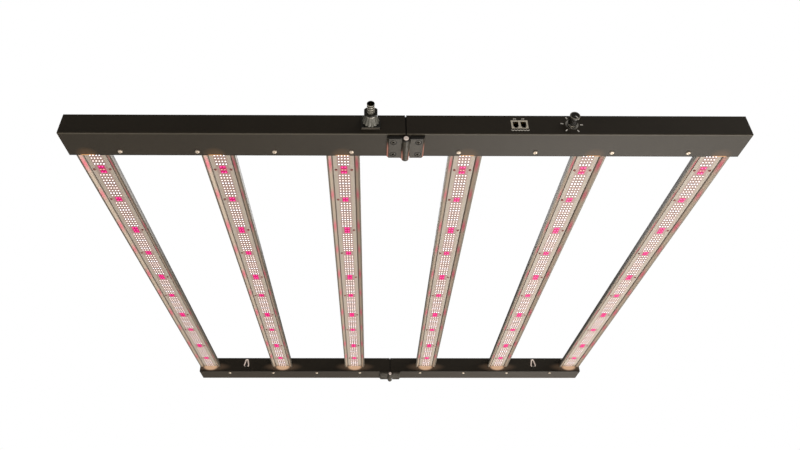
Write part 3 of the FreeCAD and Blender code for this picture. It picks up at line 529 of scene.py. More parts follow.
def add_hinge_glow(look, side, depth):
    """Light on the front hinge's outer bevels and beside its barrel."""
    bevel = look.between(side, 27.2 * MM, 28.6 * MM)
    bevel = look.times(bevel, look.between(depth, 14 * MM, 32 * MM))
    barrel = look.times(
        look.between(side, 3.6 * MM, 5.2 * MM),
        look.between(side, 6.6 * MM, 5.9 * MM),
        look.between(depth, 24 * MM, 46 * MM),
    )
    low = look.between(look.z, UNDERSIDE_Z - 0.3 * MM, UNDERSIDE_Z - 2.0 * MM)
    low = look.times(low, in_front(look))
    lit = look.times(look.math("MAXIMUM", bevel, barrel), low)
    look.glow(rgb(214, 142, 122), look.times(lit, 0.55))


def inlet_plastic():
    """Black plastic of the inlet, paler where light from below meets the flange's edge."""
    look = Look("inlet_plastic")
    grain = look.grain()
    cloud = look.noise(60.0, 2.0)
    tone = look.mix(look.span(cloud), rgb(36, 35, 31), rgb(50, 49, 44))
    under = look.between(look.z, CONTROL_Z - 11.2 * MM, CONTROL_Z - 11.7 * MM)
    look.set("Base Color", look.mix(under, tone, rgb(118, 112, 102)))
    look.set("Roughness", look.span(grain, 0.26, 0.4))
    look.bump(grain, 0.03 * MM, 0.5, 0.3 * MM)
    return look.material


def nose_thread():
    """Nose with a painted highlight on its thread crests and painted shade in its roots."""
    look = Look("nose_thread")
    grain = look.noise(2600.0, 3.0, 0.6)
    from_axis = look.squares(look.apart(look.x, INLET_X), look.apart(look.z, CONTROL_Z))
    # Pale crests are a painted highlight, dark roots are painted shade
    crest_highlight = look.between(look.math("SQRT", from_axis), 5.4 * MM, 6.05 * MM)
    look.set("Base Color", look.mix(crest_highlight, rgb(12, 11, 9), rgb(190, 186, 174)))
    look.set("Metallic", 0.3)
    look.set("Roughness", look.span(grain, 0.22, 0.36))
    look.bump(grain, 0.03 * MM, 0.4, 0.2 * MM)
    return look.material


# Material, dark and light colour, roughness, metallic and the weak painted glow that lifts it
METALS = {
    "screw_zinc": ("zinc_screw", (222, 204, 186), (248, 236, 220), 0.34, 0.45, 0.0),
    "screw_black": ("black_screw", (140, 82, 78), (168, 108, 102), 0.4, 0.2, 0.0),
    "pin_chrome": ("pin_chrome", (206, 202, 192), (244, 241, 234), 0.3, 0.5, 0.3),
    "bracket_steel": ("bracket_steel", (150, 145, 136), (188, 183, 174), 0.42, 1.0, 0.0),
    "driver_case": ("driver_case", (120, 118, 114), (160, 158, 152), 0.5, 1.0, 0.0),
    "inlet_metal": ("inlet_washer", (190, 186, 178), (226, 222, 214), 0.34, 0.4, 0.0),
    "contact": ("port_contact", (190, 150, 70), (226, 190, 110), 0.25, 1.0, 0.0),
    "dimmer_metal": ("dimmer_nickel", (196, 192, 184), (232, 228, 220), 0.22, 0.9, 0.0),
    "ring_steel": ("ring_steel", (206, 198, 184), (240, 232, 218), 0.24, 0.6, 0.34),
}

# Material, dark and light colour, roughness and the weak painted glow that lifts it
MOULDED = {
    "hinge_screw": ("hinge_screw", (66, 61, 53), (84, 78, 68), 0.34, 0.0),
    "clip_black": ("clip_black", (44, 40, 34), (62, 56, 48), 0.45, 0.0),
    "gland": ("gland_rubber", (104, 103, 96), (138, 137, 129), 0.26, 0.0),
    "rubber": ("seam_rubber", (12, 11, 9), (20, 18, 15), 0.7, 0.0),
    "jack_grey": ("jack_frame", (218, 208, 190), (236, 228, 212), 0.5, 0.08),
    "jack_black": ("jack_block", (16, 15, 14), (26, 25, 23), 0.4, 0.0),
    "knob_black": ("knob_black", (26, 24, 20), (38, 35, 30), 0.3, 0.0),
    # Paler colour for the knob's rim: a painted highlight
    "knob_rim": ("knob_rim", (120, 115, 104), (150, 144, 132), 0.34, 0.0),
    "print": ("white_print", (226, 220, 208), (248, 243, 234), 0.55, 0.16),
}

# Colour of the phosphor's edge and centre, and strength
PHOSPHORS = {
    "led_warm": ((255, 234, 226), (255, 244, 242), 2.4),
    "led_cool": ((238, 242, 255), (250, 250, 255), 3.2),
    "led_red": ((222, 0, 122), (238, 0, 140), 0.8),
    "led_hot": ((255, 104, 196), (255, 150, 216), 2.0),
    "led_dim": ((240, 150, 120), (246, 170, 140), 0.9),
}

# Finished looks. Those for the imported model's flat materials go by the same names.
MATERIALS = {
    "rail_black": powder_coat("powder_coat"),
    "cover": powder_coat("powder_coat_cover", True),
    "bar_aluminium": anodised(),
    "board_white": circuit_board(),
    "led_frame": led_frame(),
    "hinge_black": hinge_coat(),
    "inlet_plastic": inlet_plastic(),
    "thread": nose_thread(),
}
for look_name, values in METALS.items():
    MATERIALS[look_name] = bare_metal(*values)
for look_name, values in MOULDED.items():
    MATERIALS[look_name] = moulded(*values)
for look_name, values in PHOSPHORS.items():
    MATERIALS[look_name] = phosphor(look_name, *values)


def dress_cad_nodes():
    """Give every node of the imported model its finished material."""
    for name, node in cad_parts.items():
        for place in node.material_slots:
            look = place.material.name.split(".")[0]
            if name.endswith("_cover"):
                look = "cover"
            place.material = MATERIALS[look]


# ---- mesh pieces ----

CORNERS = ((-1, -1), (1, -1), (1, 1), (-1, 1))
SHARP_ANGLE = math.radians(32)


class Shell:
    """Points and faces of one piece, each face with its material."""

    def __init__(self, looks):
        self.looks = looks
        self.points = []
        self.faces = []
        self.face_looks = []

    def loop(self, points, place=None):
        """Add points, moved by a matrix if there is one, and return their numbers."""
        start = len(self.points)
        for point in points:
            point = Vector(point)
            self.points.append(place @ point if place else point)
        return list(range(start, len(self.points)))

    def face(self, numbers, look=0):
        self.faces.append(numbers)
        self.face_looks.append(look)

    def bridge(self, first, second, look=0):
        """Join two closed loops of equal length by quads."""
        count = len(first)
        for i in range(count):
            j = (i + 1) % count
            self.face([first[i], first[j], second[j], second[i]], look)

    def skin(self, loops, look=0):
        """Join each loop to the next one."""
        for first, second in zip(loops[:-1], loops[1:]):
            self.bridge(first, second, look)

    def solid(self, loops, look=0):
        """Closed form through a row of loops, with both ends filled."""
        self.skin(loops, look)
        self.face(loops[0], look)
        self.face(loops[-1], look)

    def fan(self, loop, centre):
        """Close a loop with triangles to one centre point."""
        count = len(loop)
        for i in range(count):
            self.face([loop[i], loop[(i + 1) % count], centre])

    def box(self, x_pair, y_pair, z_pair):
        """Block between a low and a high value on each axis."""
        corners = [(x_pair[i], y_pair[j]) for i, j in ((0, 0), (1, 0), (1, 1), (0, 1))]
        self.solid([self.loop([(x, y, z) for x, y in corners]) for z in z_pair])

    def piece(self, name, body, slot, replaced=(), smooth=True):
        """Turn the shell into an object that rides on a body."""
        mesh = bpy.data.meshes.new(name)
        mesh.from_pydata(self.points, [], self.faces)
        for look in self.looks:
            mesh.materials.append(MATERIALS[look])
        for polygon, look in zip(mesh.polygons, self.face_looks):
            polygon.material_index = look
        work = bmesh.new()
        work.from_mesh(mesh)
        bmesh.ops.recalc_face_normals(work, faces=work.faces)
        work.to_mesh(mesh)
        work.free()
        if smooth:
            mesh.shade_smooth()
            mesh.set_sharp_from_angle(angle=SHARP_ANGLE)
        item = bpy.data.objects.new(name, mesh)
        bpy.context.scene.collection.objects.link(item)
        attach(item, body)
        if replaced:
            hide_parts(*replaced)


def outward(place, direction, turn=0.0):
    """Matrix that puts local +Z along a direction at a place."""
    direction = Vector(direction).normalized()
    swing = direction.to_track_quat("Z", "Y").to_matrix().to_4x4()
    return Matrix.Translation(Vector(place)) @ swing @ Matrix.Rotation(turn, 4, "Z")


def on_front(x):
    """Matrix that puts local +Z out of the front face, on a control's axis."""
    return outward((x, FRONT_FACE_Y, CONTROL_Z), (0, -1, 0))


def circle(count):
    """Evenly spaced angles round a circle."""
    return [2 * math.pi * i / count for i in range(count)]


def ring_at(shell, angles, radius, height, place):
    """Loop of points at a radius, or at a radius that depends on the angle."""
    points = []
    for angle in angles:
        r = radius(angle) if callable(radius) else radius
        points.append((r * math.cos(angle), r * math.sin(angle), height))
    return shell.loop(points, place)


def fluted_rings(shell, angles, flutes, profile, place):
    """Loops from rows of radius, depth of the flutes and height, in millimetres."""
    def fluted(radius, depth):
        return lambda a: (radius - depth * (0.5 - 0.5 * math.cos(flutes * a))) * MM
    loops = []
    for radius, depth, height in profile:
        loops.append(ring_at(shell, angles, fluted(radius, depth), height * MM, place))
    return loops


# -- LEDs --

LED_LOOKS = ["led_frame", *PHOSPHORS]
FRAME, WARM, COOL, RED, HOT, DIM = range(6)

# Half width and drop below the board in millimetres: the frame, the phosphor and its centre
LED_PROFILE = ((1.5, 0.0), (1.5, 0.5), (1.36, 0.65), (0.98, 0.65), (0.86, 0.55), (0.5, 0.52))


def add_led(shell, x, y, glow, centre):
    """One LED package, open downwards. A red one's frame glows red too, painted red light on
    its cup.
    """
    loops = []
    for width, drop in LED_PROFILE:
        half = width * MM
        z = BOARD_FACE_Z - drop * MM
        loops.append(shell.loop([(x + a * half, y + b * half, z) for a, b in CORNERS]))
    # A red LED's frame takes the red phosphor's glow: painted light
    rim = RED if glow == RED else FRAME
    shell.face(loops[0], FRAME)
    shell.skin(loops[:5], rim)
    shell.bridge(loops[4], loops[5], glow)
    shell.face(loops[5], centre)


def row_looks(row):
    """Looks of the phosphor and its centre in a row."""
    step = row % PATTERN
    if row == 0:
        return DIM, DIM
    if step in RED_ROWS:
        return RED, HOT
    if step in COOL_ROWS:
        return COOL, COOL
    return WARM, WARM


def make_bar_leds(side_name, bar_name, bar_x):
    """All LEDs of one bar. Red rows have only the two middle ones."""
    shell = Shell(LED_LOOKS)
    for row in range(-LED_ROWS_BEFORE, LED_ROWS_AFTER):
        y = LED_FIRST_Y + LED_PITCH * row
        red = row % PATTERN in RED_ROWS
        glow, centre = row_looks(row)
        for column in LED_COLUMNS[1:3] if red else LED_COLUMNS:
            add_led(shell, bar_x + column, y, glow, centre)
    name = side_name + "_" + bar_name + "_leds"
    shell.piece(name, side_name + "_half", "board_white", smooth=False)


# -- screws --

# Radius and height of the steps of a head, as shares of its radius and height
PAN_PROFILE = ((1.0, 0.0), (1.0, 0.3), (0.95, 0.6), (0.84, 0.84), (0.68, 0.97), (0.56, 1.0))
SUNK_PROFILE = ((0.48, -0.58), (0.9, -0.1), (0.86, 0.0), (0.6, 0.03))

# Radius and height of the head, radius and length of the shank, in millimetres
COVER_SCREW = (3.8, 2.2, 1.7, 8.9)
BRACKET_SCREW = (3.6, 2.4, 1.9, 5.3)
BOARD_SCREW = (2.4, 1.3, 1.2, 3.2)
HINGE_SCREW = (4.7, 4.7, 2.2, 10.9)

COVER_SCREW_COUNT = 4
COVER_SCREW_FIRST_X = 87.5 * MM
COVER_SCREW_PITCH = 125.5 * MM
COVER_SCREW_FROM_LIP = 10 * MM
BRACKET_SCREW_OFFSET = 12 * MM
BRACKET_FOOT_REACH = 13 * MM
BRACKET_SCREW_RISE = 10 * MM
BOARD_SCREW_OFFSET = 13.5 * MM
BOARD_SCREW_REPEATS = 5
QUARTER = math.radians(90)


def recess_angles(reach, half):
    """Angles round a cross recess, with points on all its corners."""
    corner = math.atan2(half, reach)
    steps = [-QUARTER / 2, -QUARTER / 3, -corner, 0.0, corner, QUARTER / 3]
    return [arm * QUARTER + step for arm in range(4) for step in steps]


def cross_radius(angle, reach, half):
    """Distance from the centre of a cross to its outline at an angle."""
    local = abs((angle + QUARTER / 2) % QUARTER - QUARTER / 2)
    along = reach / math.cos(local)
    if local < 1e-6:
        return along
    return min(along, half / math.sin(local))


def add_screw(shell, place, profile, size, wide=1.0):
    """Screw with a cross recess. Local +Z points out of the head, 0 is its seat."""
    head_r, head_h, shank_r, length = [value * MM for value in size]
    reach = 0.5 * head_r
    half = 0.13 * head_r * wide
    deep = max(head_h * 0.6, 0.35 * head_r)
    angles = recess_angles(reach, half)
    top = profile[-1][1] * head_h

    def cross(scale):
        return lambda a: scale * cross_radius(a, reach, half)
    loops = [
        ring_at(shell, angles, shank_r, -length, place),
        ring_at(shell, angles, shank_r, -head_h * 0.05, place),
    ]
    for r, h in profile:
        loops.append(ring_at(shell, angles, r * head_r, h * head_h, place))
    loops.append(ring_at(shell, angles, cross(1.0), top, place))
    loops.append(ring_at(shell, angles, cross(0.6), top - deep, place))
    shell.skin(loops)
    shell.face(loops[0])
    centre = shell.loop([(0, 0, top - deep)], place)[0]
    shell.fan(loops[-1], centre)


def finish_screws(shell, side_name, kind, slot):
    """Make one piece of a half's screws, in place of the plain ones of the CAD."""
    start = side_name + "_" + kind
    shell.piece(start + "_screw_set", side_name + "_half", slot, [start + "_screws"])


def any_turn():
    return random.uniform(0, QUARTER)


def make_cover_screws(side_name, side):
    """Pan-head screws along each rail's lip."""
    shell = Shell(["screw_zinc"])
    for row in ROWS:
        y = depth_y(row, RAIL_DEPTH - COVER_SCREW_FROM_LIP)
        for i in range(COVER_SCREW_COUNT):
            x = side * (COVER_SCREW_FIRST_X + COVER_SCREW_PITCH * i)
            place = outward((x, y, UNDERSIDE_Z), (0, 0, -1), any_turn())
            add_screw(shell, place, PAN_PROFILE, COVER_SCREW)
    finish_screws(shell, side_name, "cover", "screw_zinc")


def make_bracket_screws(side_name, side):
    """Two screws in the foot and two in the back of each bar's brackets."""
    shell = Shell(["screw_zinc"])
    for row in ROWS:
        foot_y = depth_y(row, RAIL_DEPTH + BRACKET_FOOT_REACH)
        foot_z = BRACKET_LOW_Z + BRACKET_THICKNESS
        back_y = depth_y(row, RAIL_DEPTH + BRACKET_THICKNESS)
        back_z = BRACKET_LOW_Z + BRACKET_SCREW_RISE
        for bar_x in bar_xs(side):
            for offset in (-BRACKET_SCREW_OFFSET, BRACKET_SCREW_OFFSET):
                x = bar_x + offset
                foot = outward((x, foot_y, foot_z), (0, 0, 1), any_turn())
                add_screw(shell, foot, PAN_PROFILE, BRACKET_SCREW)
                back = outward((x, back_y, back_z), (0, -row, 0), any_turn())
                add_screw(shell, back, PAN_PROFILE, BRACKET_SCREW)
    finish_screws(shell, side_name, "bracket", "screw_zinc")


def board_screw_places(bar_x):
    """Places beside the red groups, on both sides of the LEDs in turn."""
    places = [(bar_x - BOARD_SCREW_OFFSET, LED_FIRST_Y)]
    for repeat in range(BOARD_SCREW_REPEATS):
        y = LED_FIRST_Y + LED_PITCH * PATTERN * repeat
        places.append((bar_x + BOARD_SCREW_OFFSET, y))
        places.append((bar_x - BOARD_SCREW_OFFSET, y + LED_PITCH * SECOND_GROUP))
    return places


def make_board_screws(side_name, side):
    """Small screws that hold the boards."""
    shell = Shell(["screw_black"])
    for bar_x in bar_xs(side):
        for x, y in board_screw_places(bar_x):
            place = outward((x, y, BOARD_FACE_Z), (0, 0, -1), any_turn())
            add_screw(shell, place, PAN_PROFILE, BOARD_SCREW)
    finish_screws(shell, side_name, "board", "screw_black")


def make_hinge_screws(side_name, side):
    """Countersunk screws in the leaves of both hinges."""
    shell = Shell(["hinge_screw"])
    for row in ROWS:
        for depth in HINGE_SCREW_DEPTHS:
            start = (side * HINGE_SCREW_X, depth_y(row, depth), HINGE_SCREW_SEAT_Z)
            place = outward(start, (0, 0, -1), any_turn())
            add_screw(shell, place, SUNK_PROFILE, HINGE_SCREW, wide=1.6)
    finish_screws(shell, side_name, "hinge", "screw_black")


# -- seam buffers --

# Distance from the seam and inset of the edges, in millimetres
BUFFER_STEPS = ((0.98, 0.0), (0.3, 0.0), (0.08, 0.5))
BUFFER_MARGIN = 2.2 * MM
BUFFER_LOW = 2.0
BUFFER_HIGH = 39.0


def make_seam_buffers(side_name, side):
    """Rubber buffers on a half's ends, set back from the rail's faces."""
    shell = Shell(["rubber"])
    for row in ROWS:
        y0 = depth_y(row, BUFFER_MARGIN)
        y1 = depth_y(row, RAIL_DEPTH - BUFFER_MARGIN)
        loops = []
        for out, inset in BUFFER_STEPS:
            x = side * out * MM
            low = min(y0, y1) + inset * MM
            high = max(y0, y1) - inset * MM
            bottom = UNDERSIDE_Z + (BUFFER_LOW + inset) * MM
            top = UNDERSIDE_Z + (BUFFER_HIGH - inset) * MM
            corners = ((low, bottom), (high, bottom), (high, top), (low, top))
            loops.append(shell.loop([(x, y, z) for y, z in corners]))
        shell.solid(loops)
    shell.piece(side_name + "_seam_buffers", side_name + "_half", "rail_black", smooth=False)


# -- inlet --

# Rows of radius, depth of the flutes and distance from the front face, in millimetres
GLAND_PROFILE = (
    (5.9, 0, 4.0), (9.4, 0, 4.2), (9.4, 0, 6.4), (12.8, 1.2, 6.7), (13.6, 1.4, 7.3),
    (13.7, 1.4, 8.6), (12.4, 1.1, 12.0), (10.6, 0.8, 16.4), (8.9, 0.4, 21.0),
    (8.2, 0.2, 23.1), (7.8, 0, 23.5), (5.95, 0, 23.5), (5.95, 0, 14.2),
)
GLAND_FLUTES = 14
POINTS_PER_FLUTE = 6
INLET_POINTS = 48


def rounded_rectangle(half_x, half_z, radius):
    """Outline of a rectangle with round corners, about the origin."""
    steps = 5
    points = []
    for corner, (sx, sz) in enumerate(((1, 1), (-1, 1), (-1, -1), (1, -1))):
        for i in range(steps + 1):
            angle = math.radians(90 * (corner + i / steps))
            x = sx * (half_x - radius) + radius * math.cos(angle)
            z = sz * (half_z - radius) + radius * math.sin(angle)
            points.append((x, z))
    return points


def add_plate(shell, centre, outline, levels):
    """Plate parallel to the front face: (out, inset) levels from back to front."""
    loops = []
    for out, inset in levels:
        points = []
        for x, z in outline:
            scale = 1 - inset / math.hypot(x, z)
            points.append((centre[0] + x * scale, FRONT_FACE_Y - out, centre[1] + z * scale))
        loops.append(shell.loop(points))
    shell.solid(loops)


def make_inlet_body():
    """Flange with round corners and a fluted, flaring gland."""
    shell = Shell(["inlet_plastic", "gland"])
    gland = 1
    outline = rounded_rectangle(15.4 * MM, 11.9 * MM, 2.4 * MM)
    levels = ((0.0, 0.0), (3.9 * MM, 0.0), (4.4 * MM, 0.5 * MM), (4.5 * MM, 1.2 * MM))
    add_plate(shell, (INLET_X, CONTROL_Z), outline, levels)
    angles = circle(GLAND_FLUTES * POINTS_PER_FLUTE)
    loops = fluted_rings(shell, angles, GLAND_FLUTES, GLAND_PROFILE, on_front(INLET_X))
    shell.solid(loops, gland)
    shell.piece("inlet_gland", "left_half", "inlet_plastic", ["inlet_body"])


def make_inlet_collar():
    """Hexagonal collar with turned-down corners."""
    shell = Shell(["inlet_plastic"])
    start = FRONT_FACE_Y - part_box("inlet_collar")[1][1]
    half_flat = 10.45 * MM
    bore = 6.0 * MM
    sixth = math.radians(60)
    angles = circle(INLET_POINTS)

    def hexagonal(limit):
        def radius(angle):
            local = (angle + sixth / 2) % sixth - sixth / 2
            return min(half_flat / math.cos(local), limit)
        return radius
    full = half_flat / math.cos(sixth / 2)
    levels = (
        (hexagonal(11.2 * MM), start),
        (hexagonal(full), start + 0.6 * MM),
        (hexagonal(full), COLLAR_END - 0.7 * MM),
        (hexagonal(11.0 * MM), COLLAR_END),
        (bore, COLLAR_END),
        (bore, start),
    )
    place = on_front(INLET_X)
    loops = [ring_at(shell, angles, radius, out, place) for radius, out in levels]
    shell.skin(loops)
    shell.bridge(loops[-1], loops[0])
    shell.piece("inlet_hex_collar", "left_half", "inlet_plastic", ["inlet_collar"])


# Nose, in millimetres; heights are distances from the front face
NOSE_START = COLLAR_END / MM
NOSE_END = 46.0
NOSE_ROOT = 14.4
NOSE_RADIUS = 5.6
THREAD_RADIUS = 6.15
THREAD_DEPTH = 1.0
THREAD_PITCH = 4.6
THREAD_END = NOSE_END - 0.5
THREAD_STEPS = 60
SOCKET_FLOOR = 37.0
SOCKET_RADIUS = 4.4
MOUTH_RADIUS = 4.6
PIN_CIRCLE = 2.4
PIN_PROFILE = ((0.8, 36.6), (0.8, 42.6), (0.62, 42.95), (0.3, 43.1))


def thread_at(out):
    """Radius round the nose at one height, with the thread fading at both ends."""
    fade = min(1.0, out - NOSE_START, (THREAD_END - out) / 0.8)
    depth = THREAD_DEPTH * max(fade, 0.0)

    def radius(angle):
        phase = out / THREAD_PITCH - angle / (2 * math.pi)
        wave = 0.5 - 0.5 * math.cos(2 * math.pi * phase)
        return (THREAD_RADIUS - depth * wave ** 1.5) * MM
    return radius


def make_inlet_nose():
    """Nose with a coarse round thread, a socket and three contacts."""
    shell = Shell(["thread", "contact"])
    place = on_front(INLET_X)
    angles = circle(INLET_POINTS)
    levels = [(NOSE_RADIUS * MM, NOSE_ROOT), (NOSE_RADIUS * MM, NOSE_START)]
    for step in range(THREAD_STEPS + 1):
        out = NOSE_START + (THREAD_END - NOSE_START) * step / THREAD_STEPS
        levels.append((thread_at(out), out))
    levels.append((NOSE_RADIUS * MM, NOSE_END))
    levels.append((MOUTH_RADIUS * MM, NOSE_END))
    levels.append((SOCKET_RADIUS * MM, NOSE_END - 0.3))
    levels.append((SOCKET_RADIUS * MM, SOCKET_FLOOR))
    shell.solid([ring_at(shell, angles, radius, out * MM, place) for radius, out in levels])
    add_contacts(shell, place)
    shell.piece("threaded_nose", "left_half", "inlet_plastic", ["inlet_nose"])


def add_contacts(shell, place):
    """Three round pins in the nose's socket, rounded at their tips."""
    pin = 1
    around = circle(16)
    for contact in range(3):
        angle = math.radians(90 + 120 * contact)
        x = PIN_CIRCLE * MM * math.cos(angle)
        y = PIN_CIRCLE * MM * math.sin(angle)
        axis = place @ Matrix.Translation((x, y, 0))
        shell.solid([ring_at(shell, around, r * MM, h * MM, axis) for r, h in PIN_PROFILE], pin)


# -- knob --

KNOB_RIBS = 24
POINTS_PER_RIB = 4
RIB_DEPTH = 0.44

# Rows of radius, depth of the ribs and distance from the front face, in millimetres
KNOB_PROFILE = (
    (3.05, 0, 7.8), (6.2, 0, 7.8), (6.2, 0, 4.6), (7.3, 0, 4.6), (7.5, 0, 4.9),
    (7.5, 0, 6.4), (7.5, RIB_DEPTH, 6.9), (7.75, RIB_DEPTH, 16.4), (7.75, 0, 17.0),
    (8.1, 0, 17.4), (8.2, 0, 17.8), (8.2, 0, 20.5), (7.95, 0, 21.1),
    (7.4, 0, 21.4), (6.6, 0, 21.4), (6.3, 0, 21.15), (3.0, 0, 21.1),
)
# Bands of the cap's rounded rim that carry a painted highlight
KNOB_RIM_HIGHLIGHT_BANDS = range(11, 15)
KNOB_CAP = 21.1 * MM
POINTER_ANGLE = math.radians(-58)
POINTER_HALF = 0.6
KNOB, POINTER, RIM_HIGHLIGHT = range(3)


def make_knob():
    """Ribbed dimmer knob with a smooth cap, a painted highlight on its rim and a pale pointer.
    """
    shell = Shell(["knob_black", "print", "knob_rim"])
    place = on_front(DIMMER_X)
    angles = circle(KNOB_RIBS * POINTS_PER_RIB)
    loops = fluted_rings(shell, angles, KNOB_RIBS, KNOB_PROFILE, place)
    for band, (first, second) in enumerate(zip(loops[:-1], loops[1:])):
        shell.bridge(first, second, RIM_HIGHLIGHT if band in KNOB_RIM_HIGHLIGHT_BANDS else KNOB)
    shell.face(loops[0])
    centre = shell.loop([(0, 0, KNOB_CAP)], place)[0]
    shell.fan(loops[-1], centre)
    add_pointer(shell)
    shell.piece("ribbed_knob", "dimmer", "knob_black", ["dimmer_knob"])


def add_pointer(shell):
    """Pale line across the cap and down its side."""
    along = Vector((math.cos(POINTER_ANGLE), 0, math.sin(POINTER_ANGLE)))
    across = Vector((-math.sin(POINTER_ANGLE), 0, math.cos(POINTER_ANGLE)))
    centre = Vector((DIMMER_X, FRONT_FACE_Y, CONTROL_Z))

    def bar(inner, outer, out_pair):
        loops = []
        for out in out_pair:
            corners = []
            for r, s in ((inner, -1), (outer, -1), (outer, 1), (inner, 1)):
                point = centre + along * r * MM + across * s * POINTER_HALF * MM
                point.y = FRONT_FACE_Y - out * MM
                corners.append(point)
            loops.append(shell.loop(corners))
        shell.solid(loops, POINTER)
    bar(1.2, 6.5, (20.9, 21.22))
    bar(6.9, 8.19, (18.0, 21.1))


# -- ports and print --

PORT_OFFSETS = (-6.2 * MM, 6.2 * MM)
CONTACT_COUNT = 8
CONTACT_PITCH = 1.02
CONTACT_HALF_WIDTH = 0.2 * MM
CONTACT_DEPTHS = (1.5 * MM, 12.5 * MM)
CONTACT_HEIGHTS = (37.2 * MM, 38.7 * MM)

PRINT_T = 0.06 * MM
PRINT_RISE = 12.2 * MM
WAVE_STROKES = 12
WAVE_PITCH = 2.4 * MM
WAVE_TILT = 38
DIAL_RADIUS = 15.5 * MM
DIAL_TICKS = 6
DIAL_START = 229
DIAL_STEP = 57.4


def make_port_contacts():
    """Eight gilt contacts in the roof of each dimming port."""
    shell = Shell(["contact"])
    y_pair = [FRONT_FACE_Y + depth for depth in CONTACT_DEPTHS]
    for offset in PORT_OFFSETS:
        for i in range(CONTACT_COUNT):
            x = JACK_X + offset + (i - (CONTACT_COUNT - 1) / 2) * CONTACT_PITCH * MM
            x_pair = (x - CONTACT_HALF_WIDTH, x + CONTACT_HALF_WIDTH)
            shell.box(x_pair, y_pair, CONTACT_HEIGHTS)
    shell.piece("port_contacts", "right_half", "dimmer_metal")


def mark(shell, points):
    """Flat printed mark on the front face, from corners in the XZ plane."""
    back = shell.loop([(x, FRONT_FACE_Y + PRINT_T, z) for x, z in points])
    front = shell.loop([(x, FRONT_FACE_Y - PRINT_T, z) for x, z in points])
    shell.solid([back, front])


def turned_box(cx, cz, length, width, angle):
    """Corners of a rectangle turned in the XZ plane."""
    c, s = math.cos(angle), math.sin(angle)
    corners = []
    for a, b in CORNERS:
        u, v = a * length / 2, b * width / 2
        corners.append((cx + u * c - v * s, cz + u * s + v * c))
    return corners


def add_arrow(shell, cx, cz, way):
    """Arrow that points along X: a bar and a triangle."""
    mark(shell, turned_box(cx, cz, 4.4 * MM, 1.2 * MM, 0))
    tip = cx + way * 3.2 * MM
    back = tip - way * 1.8 * MM
    half = 1.3 * MM
    mark(shell, [(tip, cz), (back, cz + half), (back, cz - half)])


def make_front_print():
    """Generic marks: arrows over the ports, a wave line under them, dial ticks."""
    shell = Shell(["print"])
    for offset, way in zip(PORT_OFFSETS, (-1, 1)):
        add_arrow(shell, JACK_X + offset, CONTROL_Z + PRINT_RISE, way)
    for i in range(WAVE_STROKES):
        cx = JACK_X + (i - (WAVE_STROKES - 1) / 2) * WAVE_PITCH
        tilt = math.radians(WAVE_TILT if i % 2 else -WAVE_TILT)
        mark(shell, turned_box(cx, CONTROL_Z - PRINT_RISE, 3.0 * MM, 1.1 * MM, tilt))
    for i in range(DIAL_TICKS):
        angle = math.radians(DIAL_START - DIAL_STEP * i)
        cx = DIMMER_X + DIAL_RADIUS * math.cos(angle)
        cz = CONTROL_Z + DIAL_RADIUS * math.sin(angle)
        mark(shell, turned_box(cx, cz, 4.4 * MM, 1.7 * MM, angle))
    shell.piece("front_print", "right_half", "jack_grey", smooth=False)


# ---- stage ----

CAMERA_PLACE = (-0.05447, -1.26230, -0.66957)
CAMERA_LENS = 28.70
CAMERA_SHIFT_X = 0.0304
CAMERA_TILT = math.radians(34.05)
CAMERA_YAW = math.radians(-0.448)
CAMERA_ROLL = math.radians(0.136)

WHITE = (1.0, 1.0, 1.0)
WARM_WHITE = (1.0, 0.95, 0.88)
WORLD_TINT = (1.0, 0.965, 0.91, 1)
WORLD_RAMP = {"From Min": -0.8, "From Max": 0.0, "To Min": 0.7, "To Max": 0.16}

FLOOR_Z = -2.6
FLOOR_HALF = 7.0


def add_camera():
    """The photo's own view."""
    data = bpy.data.cameras.new("camera")
    data.sensor_width = 36.0
    data.lens = CAMERA_LENS
    data.shift_x = CAMERA_SHIFT_X
    data.clip_start = 0.02
    data.clip_end = 60.0
    camera = bpy.data.objects.new("camera", data)
    bpy.context.scene.collection.objects.link(camera)
    upright = Matrix.Rotation(QUARTER, 4, "X")
    turn = Matrix.Rotation(CAMERA_YAW, 4, "Z") @ Matrix.Rotation(CAMERA_TILT, 4, "X")
    turn = turn @ Matrix.Rotation(CAMERA_ROLL, 4, "Y") @ upright
    camera.matrix_world = Matrix.Translation(CAMERA_PLACE) @ turn
    bpy.context.scene.camera = camera


def add_area(name, place, target, size, power, colour):
    """Soft light that points at a target and isn't seen itself."""
    data = bpy.data.lights.new(name, "AREA")
    data.shape = "RECTANGLE"
    data.size, data.size_y = size
    data.energy = power
    data.color = colour
    light = bpy.data.objects.new(name, data)
    light.visible_camera = False
    bpy.context.scene.collection.objects.link(light)
    aim = (Vector(target) - Vector(place)).to_track_quat("-Z", "Y")
    light.matrix_world = Matrix.Translation(Vector(place)) @ aim.to_matrix().to_4x4()


def add_lights():
    """Place, target, size in metres, power in watts and colour of each soft light."""
    add_area("under_soft", (1.2, 1.2, -2.3), (0.1, 0.1, 0.0), (2.6, 2.6), 90.0, WARM_WHITE)
    add_area("over_soft", (0.3, 1.6, 2.8), (0.0, 0.0, 0.0), (3.0, 3.0), 100.0, WHITE)
    add_area("floor_wash", (0.0, 0.0, -0.9), (0.0, 0.0, FLOOR_Z), (4.0, 4.0), 60.0, WARM_WHITE)
    add_area("front_soft", (2.2, -3.0, 0.8), (0.2, -0.4, 0.0), (2.0, 1.4), 13.0, WARM_WHITE)


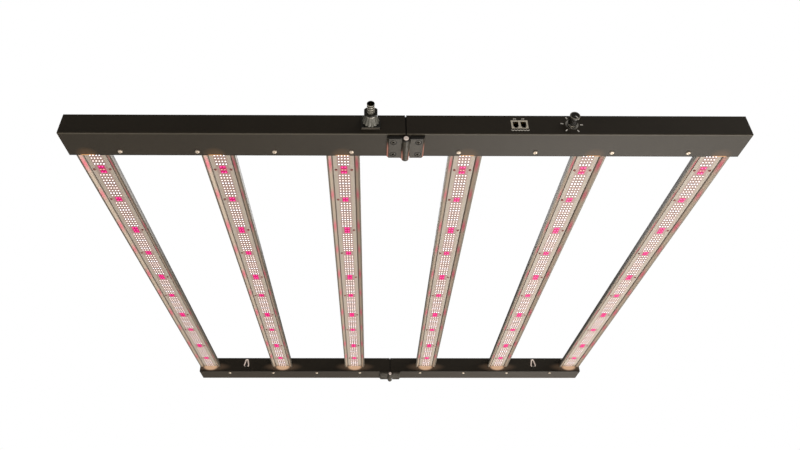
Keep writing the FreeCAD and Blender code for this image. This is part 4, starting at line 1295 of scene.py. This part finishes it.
def add_world():
    """White to the camera, a softer gradient for lighting: brighter from below."""
    world = bpy.data.worlds.new("studio")
    world.use_nodes = True
    bpy.context.scene.world = world
    tree = world.node_tree
    nodes, links = tree.nodes, tree.links
    nodes.clear()
    out = nodes.new("ShaderNodeOutputWorld")
    mix = nodes.new("ShaderNodeMixShader")
    path = nodes.new("ShaderNodeLightPath")
    seen = nodes.new("ShaderNodeBackground")
    light = nodes.new("ShaderNodeBackground")
    where = nodes.new("ShaderNodeTexCoord")
    parts = nodes.new("ShaderNodeSeparateXYZ")
    ramp = nodes.new("ShaderNodeMapRange")
    seen.inputs["Color"].default_value = (1, 1, 1, 1)
    light.inputs["Color"].default_value = WORLD_TINT
    ramp.interpolation_type = "SMOOTHSTEP"
    for name, value in WORLD_RAMP.items():
        ramp.inputs[name].default_value = value
    links.new(where.outputs["Generated"], parts.inputs[0])
    links.new(parts.outputs[2], ramp.inputs["Value"])
    links.new(ramp.outputs["Result"], light.inputs["Strength"])
    links.new(path.outputs["Is Camera Ray"], mix.inputs[0])
    links.new(light.outputs[0], mix.inputs[1])
    links.new(seen.outputs[0], mix.inputs[2])
    links.new(mix.outputs[0], out.inputs[0])


def add_floor():
    """Plain pale floor far below the hanging light."""
    mesh = bpy.data.meshes.new("floor")
    work = bmesh.new()
    bmesh.ops.create_grid(work, x_segments=8, y_segments=8, size=FLOOR_HALF)
    work.to_mesh(mesh)
    work.free()
    look = Look("pale_floor")
    cloud = look.noise(0.8)
    look.set("Base Color", look.mix(look.span(cloud), rgb(226, 224, 220), rgb(236, 234, 231)))
    look.set("Roughness", look.span(cloud, 0.7, 0.9))
    mesh.materials.append(look.material)
    floor = bpy.data.objects.new("floor", mesh)
    floor.location.z = FLOOR_Z
    bpy.context.scene.collection.objects.link(floor)


def build():
    dress_cad_nodes()
    for side_name, side in SIDES.items():
        for bar_name, bar_x in zip(BAR_NAMES, bar_xs(side)):
            make_bar_leds(side_name, bar_name, bar_x)
        make_cover_screws(side_name, side)
        make_bracket_screws(side_name, side)
        make_board_screws(side_name, side)
        make_hinge_screws(side_name, side)
        make_seam_buffers(side_name, side)
    make_inlet_body()
    make_inlet_collar()
    make_inlet_nose()
    make_knob()
    make_port_contacts()
    make_front_print()
    add_camera()
    add_world()
    add_lights()
    add_floor()
    bpy.context.scene.view_settings.view_transform = "Standard"


build()
